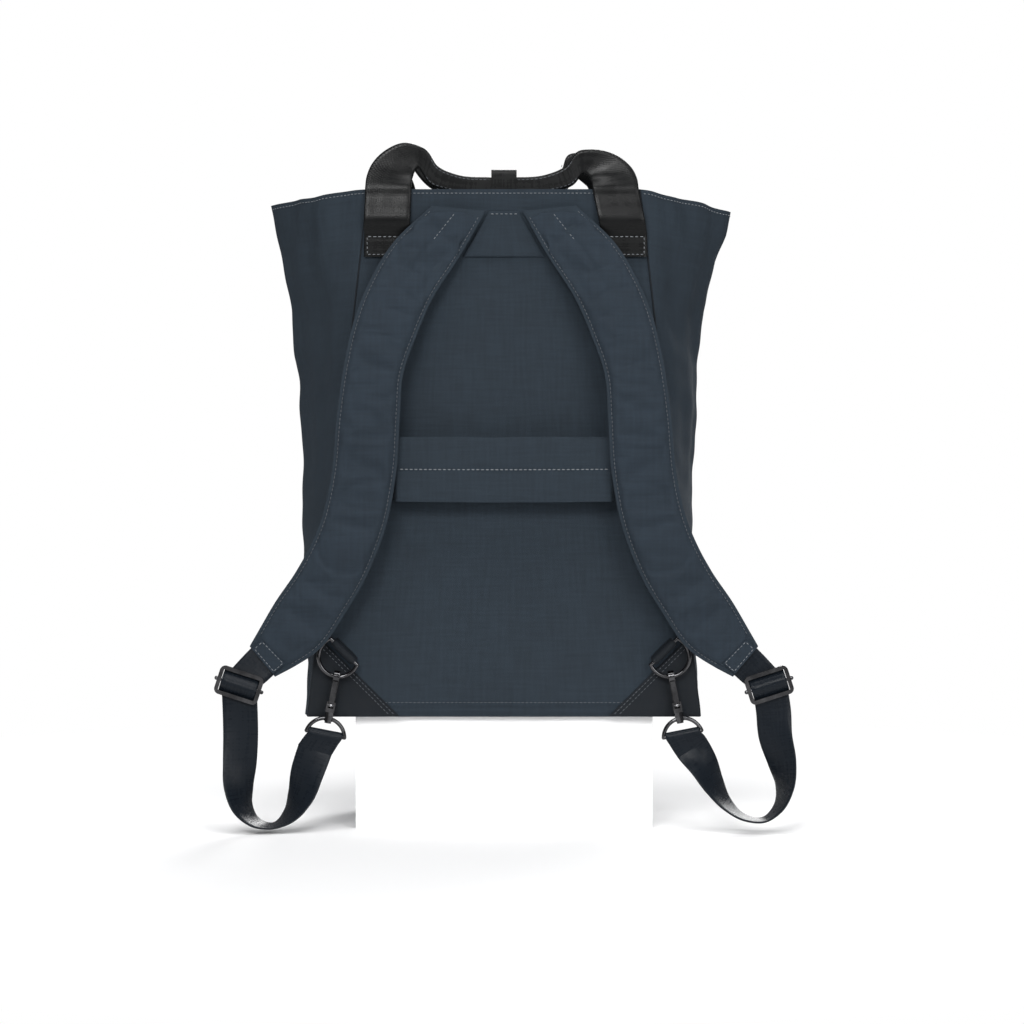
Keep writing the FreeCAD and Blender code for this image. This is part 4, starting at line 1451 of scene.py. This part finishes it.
@dataclass
class StrapWebbing:
    """One side's webbing: the tail to the slider, the wrap over its bar and the hanging loop.

    Places are those of the right side. The two hangs differ, as webbing never falls twice the
    same way; a station of a hang holds shares of the way from eye to slider and of the rise or
    drop, and the webbing's turn in degrees. The two distances of turn_reach, measured from the
    eye towards the slider, are passed as the loop's bend; the loop does not bend between them.
    """

    side: str
    half_width: float = 13.1
    thick: float = 0.8
    wrap_thick: float = 0.75
    strap_end: tuple = (180.5, -15.88, 43.5)
    slider: tuple = (198.0, -15.88, 26.0)
    slider_tilt: float = 18.0
    eye: tuple = (134.0, -7.2, -12.0)
    eye_tilt: float = 11.1
    eye_wire: float = 1.5
    drop: float = 63.5
    turn_reach: tuple = (15.0, 59.0)
    frame_half: float = 17.0
    frame_stand: float = 2.7
    bar_radius: float = 1.55
    hangs: dict = field(default_factory=lambda: {
        "right": (
            (1.015, 0.920, 0), (1.055, 0.500, 5), (1.078, 0.000, 18), (1.156, -0.315, 38),
            (1.190, -0.598, 62), (1.120, -0.850, 80), (0.953, -1.000, 90), (0.719, -0.976, 86),
            (0.516, -0.819, 72), (0.360, -0.583, 52), (0.234, -0.340, 30), (0.110, -0.160, 8)),
        "left": (
            (1.000, 0.920, 0), (0.990, 0.500, 3), (0.985, 0.000, 8), (0.995, -0.315, 18),
            (1.010, -0.598, 36), (0.960, -0.860, 60), (0.820, -1.030, 80), (0.620, -1.080, 88),
            (0.430, -0.960, 68), (0.290, -0.720, 40), (0.210, -0.440, 16), (0.120, -0.180, 3))})

    def add(self, name: str, centres: Array, widths: Array, body: str, nodes: tuple = (),
            bend: tuple | None = None, thick: float | None = None) -> None:
        """Makes one piece of webbing from the right side's places.

        Args:
            name: the piece's name, without its side.
            centres: points along its middle.
            widths: half-width vectors.
            body: the body that it rides on.
            nodes: CAD nodes that it replaces, without their side.
            bend: two bodies and two points; when given, the piece rides on no body, and it does not bend.
            thick: its half-thickness, where it isn't the usual one.
        """
        skin = band_skin(centres * mirror(self.side), widths * mirror(self.side), thick or self.thick)
        add_piece(f"{name}_{self.side}", skin, [STRAP_WEB], body,
                  tuple(f"{node}_{self.side}" for node in nodes), bend=bend)

    def slider_axes(self) -> tuple[Array, Array]:
        """Directions along the slider's bar and up across it."""
        return leaning(self.slider_tilt), leaning(self.slider_tilt + 90.0)

    def loop_rows(self) -> Array:
        """The loop's middle line and its turn.

        Returns:
            Rows of x, y, z and the turn in degrees, for the right side.
        """
        across, height, turn = np.array(self.hangs[self.side]).T
        eye, slider = np.array(self.eye), np.array(self.slider)
        x = eye[0] + across * (slider[0] - eye[0])
        y = eye[1] + np.clip(across, 0, 1) * (slider[1] - eye[1])
        z = eye[2] + height * np.where(height > 0, slider[2] - eye[2], self.drop)
        return smooth(np.stack([x, y, z, turn], axis=-1), 120)

    def loop_widths(self, rows: Array) -> Array:
        """Half-width vectors of the loop: level in the back's plane, turned out of it."""
        level = unit(np.cross(-OUTWARD, along_path(rows[:, :3])))
        angle = np.radians(rows[:, 3])[:, None]
        return (level * np.cos(angle) - OUTWARD * np.sin(angle)) * self.half_width

    def loop(self) -> None:
        """Makes the free loop, which turns edge-on at its lowest point."""
        rows = self.loop_rows()
        way = unit(np.array([self.slider[0] - self.eye[0], 0.0, self.slider[2] - self.eye[2]]))
        start, end = ((np.array(self.eye) + way * reach) * mirror(self.side) for reach in self.turn_reach)
        self.add("webbing_run", rows[:, :3], self.loop_widths(rows), "root", ("webbing_loop",),
                 ("root", f"strap_{self.side}", start, end))

    def eye_wrap(self) -> None:
        """Makes the webbing folded over the eye's bar, from the loop's end and back behind it.

        Formula: a path in the plane square to the bar's line: up in front of the bar, a half
        turn over it, and down behind to the loop's end; its width turns from the bar's line to
        the loop's.
        """
        across, height, _ = self.hangs[self.side][-1]
        eye = np.array(self.eye)
        bar, down = leaning(self.eye_tilt), leaning(self.eye_tilt - 90.0)
        radius = self.eye_wire + self.thick + 0.25
        angle = np.linspace(0, math.pi, 17)
        over = eye + OUTWARD * (radius * np.cos(angle))[:, None] - down * (radius * np.sin(angle))[:, None]
        run = np.array([across * (self.slider[0] - eye[0]), 0.0, height * self.drop])
        front = [eye + OUTWARD * radius * (1 - 0.55 * k) + run * k for k in (1.08, 0.75, 0.4)]
        behind = [eye - OUTWARD * radius * (1 - 0.55 * k) + run * k for k in (0.4, 0.8)]
        centres = smooth(np.concatenate((front, over, behind)), 60)
        share = np.clip(np.sum((centres - eye) * down, axis=1) / np.linalg.norm(run), 0, 1)[:, None]
        last = self.loop_widths(self.loop_rows())[-1] / self.half_width
        last = last * np.sign(np.dot(last, bar))
        self.add("eye_wrap", centres, unit(bar * (1 - share) + last * share) * self.half_width, "root")

    def tail(self) -> None:
        """Makes the short tail between the strap's end and the slider."""
        start = np.array(self.strap_end) + np.array([-4.0, 0.0, 4.0])
        share = np.linspace(0, 1, 20)[:, None]
        widths = unit(unit(np.array([9.5, 0.0, 11.5])) * (1 - share) + self.slider_axes()[0] * share)
        self.add("webbing_tail", line(start, self.slider, 20), widths * self.half_width, f"strap_{self.side}",
                 ("strap_tail",))

    def wrap(self) -> None:
        """Makes the webbing that passes over the slider's middle bar.

        Formula: a cosine hump over the bar, between two short runs behind the frame's long sides.
        """
        across, up = self.slider_axes()
        run = np.linspace(-10.5, 10.5, 43)
        lift = 4.8 * np.cos(np.clip(run / 8.4, -1, 1) * math.pi / 2) ** 1.2 - 2.6
        centre = np.array(self.slider) + OUTWARD * self.frame_stand
        centres = centre + up * run[:, None] + OUTWARD * lift[:, None]
        self.add("slider_wrap", centres, across * (self.half_width + 0.6), f"slider_{self.side}",
                 thick=self.wrap_thick)

    def bar_ends(self) -> None:
        """Makes the two riveted ends of the slider's bar, short domes outside the frame.

        Formula: a rod whose radius falls as the root of 1 - s squared over its outer half.
        """
        centre = np.array(self.slider) + OUTWARD * self.frame_stand
        run = np.linspace(0.0, 1.0, 12)
        radius = self.bar_radius * np.sqrt(np.clip(1.0 - np.clip(run * 2 - 1, 0, 0.97) ** 2, 0.05, 1.0))
        for name, way in (("outer", 1.0), ("inner", -1.0)):
            path = centre + self.slider_axes()[0] * (way * (self.frame_half - 0.3 + run * 2.4))[:, None]
            dome = rod_skin(path * mirror(self.side), radius, 16)
            add_piece(f"bar_end_{name}_{self.side}", dome, [GUNMETAL], f"slider_{self.side}")

    def build(self) -> None:
        """Makes all the webbing of one side."""
        self.loop()
        self.eye_wrap()
        self.tail()
        self.wrap()
        self.bar_ends()


# ---------------------------------------------------------------- carrying handles


@dataclass
class CarryHandle:
    """One handle: two flat legs sewn to a wall that fold into a sagging middle band.

    A foot station holds x, z and how far the leg bulges; a station above it holds x, a share of
    the lean, z, the half-width vector across and up, and a share of the fold's thickness.
    """

    place: str
    hinge: float = 397.0
    bend: tuple = (388.0, 404.0)
    lean: float = 8.5
    rise: float = 24.8
    fold_half: float = 2.9
    leg_half: float = 1.2
    drift: float = 6.5
    far_drop: float = 5.5
    foot_x: float = 88.5
    foot_half: float = 17.4
    foot_box: tuple = (14.9, 347.3, 360.5)
    band_half: float = 55.0
    keeper_half: float = 11.0
    keeper_wall: float = 0.9
    foot_stations: tuple = (
        (88.5, 345.5, 0.0), (88.5, 356.0, 0.0), (88.3, 362.5, 0.2), (88.1, 366.5, 1.8),
        (87.8, 370.5, 3.6), (87.3, 375.0, 4.0), (86.7, 380.5, 3.0), (86.0, 386.0, 1.5), (85.3, 391.5, 0.4),
    )
    stations: tuple = (
        (84.8, -0.15, 397.5, 17.3, 0.0, 0.00),
        (84.2, 0.10, 403.5, 17.0, 1.6, 0.00),
        (81.6, 0.45, 410.5, 15.4, 4.8, 0.10),
        (76.4, 0.75, 417.0, 11.4, 7.8, 0.40),
        (67.5, 0.95, 421.6, 5.2, 9.3, 0.75),
        (60.0, 1.00, 418.5, -0.5, 9.0, 0.90),
        (50.4, 1.00, 406.2, -2.6, 7.4, 1.00),
        (34.0, 1.00, 400.4, -1.3, 6.6, 1.00),
        (10.1, 1.00, 398.9, 0.0, 6.3, 1.00),
        (0.0, 1.00, 398.8, 0.0, 6.3, 1.00),
    )

    @property
    def body(self) -> str:
        """The body that the handle moves on."""
        return f"{self.place}_handle"

    @property
    def wall(self) -> str:
        """The body of the wall that the handle is sewn to."""
        return "root" if self.place == "rear" else "front"

    @property
    def turned(self) -> Array:
        """What turns the rear handle's directions to this one's."""
        return np.array([1.0, 1.0 if self.place == "rear" else -1.0, 1.0])

    def half_line(self) -> Array:
        """Rows of x, y, z, half-width x, half-width z and half-thickness, from foot to middle."""
        out, lean, level, across, up, fold = np.array(self.stations).T
        grow = self.leg_half + fold * (self.fold_half - self.leg_half)
        rows = np.stack([out, lean * self.lean, level, across, up, grow], axis=-1)
        foot = np.array([[x, -self.leg_half - 0.1 - bulge, level, self.foot_half, 0.0, self.leg_half]
                         for x, level, bulge in self.foot_stations])
        return np.concatenate((foot, rows))

    def to_wall(self, points: Array) -> Array:
        """Moves points of the even handle to this one.

        Formula: both sway sideways from foot to hinge; the front one is mirrored about the
        bag's middle, drifts left and rises by a smooth step of the height above its hinge.

        Args:
            points: places on a rear handle whose halves are alike.

        Returns:
            The same places on this handle.
        """
        sway = np.interp(points[:, 2], (362.0, self.hinge), (1.3, -1.6))
        points = points + sway[:, None] * np.array([1.0, 0.0, 0.0])
        if self.place == "rear":
            return points
        share = np.clip((points[:, 2] - self.hinge) / self.rise, 0, 1)
        drift = grid(-self.drift * smooth_step(share), 0.0, 2.0 * share)
        return points * self.turned - OUTWARD * BagShell.depth + drift

    def whole_line(self) -> tuple[Array, Array, Array]:
        """The handle's whole middle line, from the left foot to the right foot.

        Formula: the right half mirrored, then the right half itself, whose shoulder lies lower.

        Returns:
            Centres, half-width vectors and half-thickness, before they move to the wall.
        """
        right = self.half_line()
        left = right[:-1] * np.array([-1.0, 1.0, 1.0, -1.0, 1.0, 1.0])
        high = np.clip((right[:, 2] - self.hinge) / self.rise, 0, 1)
        right[:, 2] -= self.far_drop * high * np.clip((right[:, 0] - 54.0) / 14.0, 0, 1)
        rows = smooth(np.concatenate((left, right[::-1])), 260)
        return rows[:, :3], grid(rows[:, 3], 0.0, rows[:, 4]), rows[:, 5]

    def strap(self) -> None:
        """Makes the strap of the handle in one run, sewn feet and all.

        Formula: centre + across * (straight half-width * share + edge * cosine of the edge's
        turn) + face * half-thickness * sine; the edge is no rounder than 1.6 mm.
        """
        centres, widths, depth = self.whole_line()
        widths, depth = widths * self.turned, depth[:, None, None]
        share, cosine, sine = (part[None, :, None] for part in rounded_section(13, 4))
        half = np.linalg.norm(widths, axis=1)[:, None, None]
        edge = np.minimum(depth, 1.6)
        reach = (half - edge) * share + edge * cosine
        points = (self.to_wall(centres)[:, None] + unit(widths)[:, None] * reach
                  + OUTWARD * self.turned * (depth * sine))
        nodes = (self.body, f"{self.body}_patch_left", f"{self.body}_patch_right")
        low, high = (np.array([0.0, 0.0, level]) for level in self.bend)
        add_piece(f"{self.body}_strap", loop_skin(points), [HANDLE], self.wall, nodes,
                  bend=(self.wall, self.body, low, high))

    def sewn(self, seam: Seam, path: Array, out: float = 1.0) -> Skin:
        """Stitches along a path of the even handle, on its outer face or its inner one."""
        moved = self.to_wall(path)
        return seam.skin(moved, self.to_wall(path + OUTWARD * out) - moved)

    def foot_seams(self) -> None:
        """Makes the box of stitches that holds each foot to the wall, heavier along its top."""
        half, low, high = self.foot_box
        face = -self.leg_half * 2 - 0.15
        rows = []
        for sign in SIDES.values():
            inner, outer = sign * (self.foot_x - half), sign * (self.foot_x + half)
            corners = [(inner, face, high), (outer, face, high), (outer, face, low), (inner, face, low)]
            ends = corners[1:] + corners[:1]
            rows += [self.sewn(seam, line(start, end)) for seam, start, end
                     in zip((HEAVY_SEAM, FINE_SEAM, FINE_SEAM, FINE_SEAM), corners, ends)]
        add_piece(f"{self.place}_foot_seams", join_skins(rows), [PALE_THREAD], self.wall)

    def band_seams(self) -> None:
        """Makes the stitches along both edges of the middle band, on both its faces."""
        centres, widths, depth = self.whole_line()
        size = np.linalg.norm(widths, axis=1)
        band = np.abs(centres[:, 0]) < self.band_half
        parts = [band & (centres[:, 0] * way > self.keeper_half) for way in (-1.0, 1.0)]
        rows = []
        for sign in (-1.0, 1.0):
            edge = centres + unit(widths) * (sign * (size - 2.0))[:, None]
            for out in (-1.0, 1.0):
                path = edge + OUTWARD * out * (depth + 0.05)[:, None]
                rows += [self.sewn(FINE_SEAM, path[part], out) for part in parts]
        add_piece(f"{self.place}_band_seams", join_skins(rows), [DIM_THREAD], self.body)

    def keeper(self) -> None:
        """Makes the flat loop round the middle of the band.

        Formula: a rounded square carried across the band on its outside and back on its inside.
        """
        low, high = node_box(f"{self.body}_keeper")
        centre, half = (low + high) / 2, (high - low) / 2
        c, s = squared_turn(48, 0.35, 0.25)
        run = half[0] * np.array([-1.0, -0.97, -0.8, 0.0, 0.8, 0.97, 1.0])[:, None]
        sides = [grid(way * run, c * (half[1] - wall), s * (half[2] - wall))
                 for way, wall in ((1.0, 0.0), (-1.0, self.keeper_wall))]
        add_piece(f"{self.place}_keeper", loop_skin(centre + np.concatenate(sides), ring=True), [HANDLE],
                  self.body, (f"{self.body}_keeper",))

    def build(self) -> None:
        """Makes the whole handle."""
        self.strap()
        self.foot_seams()
        self.band_seams()
        self.keeper()


# ---------------------------------------------------------------- hardware


class Hardware:
    """The metal pieces of the frame, dressed in their finishes."""

    plated = ("slider_frame", "slider_bar", "corner_ring", "swivel_eye", "snap_hook", "hook_gate", "gate_pin")

    def build(self) -> None:
        """Gives every metal node its material."""
        for side in SIDES:
            for name in self.plated:
                self.dress(f"{name}_{side}", GUNMETAL)
            self.dress(f"gate_spring_{side}", STEEL)
        for name in ("snap_socket", "snap_stud"):
            self.dress(name, STEEL)

    def dress(self, node: str, kind: Metal) -> None:
        """Sets one node's material slots.

        Args:
            node: name of the CAD node.
            kind: its finish.
        """
        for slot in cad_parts[node].material_slots:
            slot.material = finish(kind)
        log.info("%s dressed in %s", node, kind.name)


# ---------------------------------------------------------------- stage


@dataclass
class Studio:
    """A pale floor and plinth, soft lights and the camera; the floor glows white towards its rim, a painted
    glow though it is no lamp.

    Lengths are in metres. A lamp has a place, its watts, and its width and height.
    """

    distance: float = 3.0
    field: float = 0.768
    centre: tuple = (0.006, 0.009, -0.033)
    elevation: float = 3.0
    hang: float = 0.0855
    floor_radius: float = 1.4
    plinth_half: float = 0.112
    plinth_depths: tuple = (0.010, 0.124)
    lamps: tuple = (
        ("key", (-0.55, -2.6, 1.35), 50.0, (1.0, 0.8)),
        ("fill", (1.2, -2.5, 0.8), 33.0, (1.3, 1.3)),
        ("top", (0.0, -0.7, 2.1), 30.0, (1.6, 0.8)),
        ("rear", (0.8, 2.4, 1.1), 78.0, (1.7, 1.7)),
    )

    def plain(self, name: str, points: Array, faces: list) -> None:
        """Makes one plain stage piece, pale near the bag, that glows white far from it: a painted glow,
        though it is no lamp, that blends its rim into the white surroundings.

        Args:
            name: its name.
            points: its corners, in metres of the part's frame.
            faces: its faces.
        """
        mesh = bpy.data.meshes.new(name)
        mesh.from_pydata(points.tolist(), [], faces)
        nodes = Nodes(name)
        place = nodes.add("ShaderNodeTexCoord").outputs["Object"]
        reach = nodes.add("ShaderNodeVectorMath", {0: place}, operation="LENGTH").outputs["Value"]
        # Painted glow: far from the bag the colour fades to black while an emission rises to full white.
        far = nodes.spread(reach, 0.42, 0.85, 0.0, 1.0)
        nodes.set(Base_Color=nodes.blend(far, (0.86, 0.86, 0.86), (0.0, 0.0, 0.0)), Roughness=0.9,
                  Specular_IOR_Level=0.0, Emission_Color=(1.0, 1.0, 1.0, 1.0), Emission_Strength=far)
        mesh.materials.append(nodes.material)
        piece = bpy.data.objects.new(name, mesh)
        bpy.context.scene.collection.objects.link(piece)

    def stage(self) -> None:
        """Makes a round floor just below the hanging loops and a plinth under the base."""
        top, floor = ORIGIN[2] - 0.0002, ORIGIN[2] - self.hang
        turn = full_turn(96)
        disc = grid(self.floor_radius * np.cos(turn), self.floor_radius * np.sin(turn), floor)
        self.plain("floor", disc, [tuple(range(len(turn)))])
        near, far = (ORIGIN[1] + depth for depth in self.plinth_depths)
        half = self.plinth_half
        square = [(-half, near), (half, near), (half, far), (-half, far)]
        points = np.array([(x, y, z) for z in (floor, top) for x, y in square])
        self.plain("plinth", points, [(4, 5, 6, 7), (0, 1, 5, 4), (1, 2, 6, 5), (2, 3, 7, 6), (3, 0, 4, 7)])

    def aim(self, piece: bpy.types.Object, place: Array) -> None:
        """Puts a lamp or camera into the scene, turned to the middle of the view.

        Args:
            piece: the lamp or camera.
            place: where it stands.
        """
        piece.location = place
        way = Vector(np.array(self.centre) - np.array(place))
        piece.rotation_euler = way.to_track_quat("-Z", "Y").to_euler()
        bpy.context.scene.collection.objects.link(piece)

    def light(self, name: str, place: tuple, power: float, size: tuple) -> None:
        """Adds a soft box that looks at the bag.

        Args:
            name: its name.
            place: where it stands.
            power: watts.
            size: its width and height.
        """
        data = bpy.data.lights.new(name, "AREA")
        data.shape = "RECTANGLE"
        data.size, data.size_y = size
        data.energy = power
        self.aim(bpy.data.objects.new(name, data), np.array(place))

    def surroundings(self) -> None:
        """Makes a dim even light all round, which the camera sees as plain white."""
        world = bpy.data.worlds.new("surroundings")
        world.use_nodes = True
        tree = world.node_tree
        soft, plain = tree.nodes["Background"], tree.nodes.new("ShaderNodeBackground")
        soft.inputs[0].default_value = (0.95, 0.96, 1.0, 1.0)
        soft.inputs[1].default_value = 0.21
        plain.inputs[0].default_value = (1.0, 1.0, 1.0, 1.0)
        ray, mix = tree.nodes.new("ShaderNodeLightPath"), tree.nodes.new("ShaderNodeMixShader")
        output = tree.nodes["World Output"]
        for start, end in ((ray.outputs["Is Camera Ray"], mix.inputs[0]), (soft.outputs[0], mix.inputs[1]),
                           (plain.outputs[0], mix.inputs[2]), (mix.outputs[0], output.inputs[0])):
            tree.links.new(start, end)
        bpy.context.scene.world = world

    def build(self) -> None:
        """Makes the stage, the lights, the surroundings and the camera."""
        self.stage()
        for lamp in self.lamps:
            self.light(*lamp)
        self.surroundings()
        scene = bpy.context.scene
        scene.view_settings.view_transform = "Standard"
        data = bpy.data.cameras.new("view")
        data.lens = data.sensor_width * self.distance / self.field
        camera = bpy.data.objects.new("view", data)
        tilt = math.radians(self.elevation)
        away = self.distance * np.array([0.0, -math.cos(tilt), math.sin(tilt)])
        self.aim(camera, np.array(self.centre) + away)
        scene.camera = camera


def main() -> None:
    """Builds every sub-assembly in order."""
    shell = BagShell()
    shell.build()
    BackTrim(shell).build()
    for side in SIDES:
        ShoulderStrap(side).build()
        StrapWebbing(side).build()
    for place in ("rear", "front"):
        CarryHandle(place).build()
    Hardware().build()
    Studio().build()


if __name__ == "__main__":
    main()
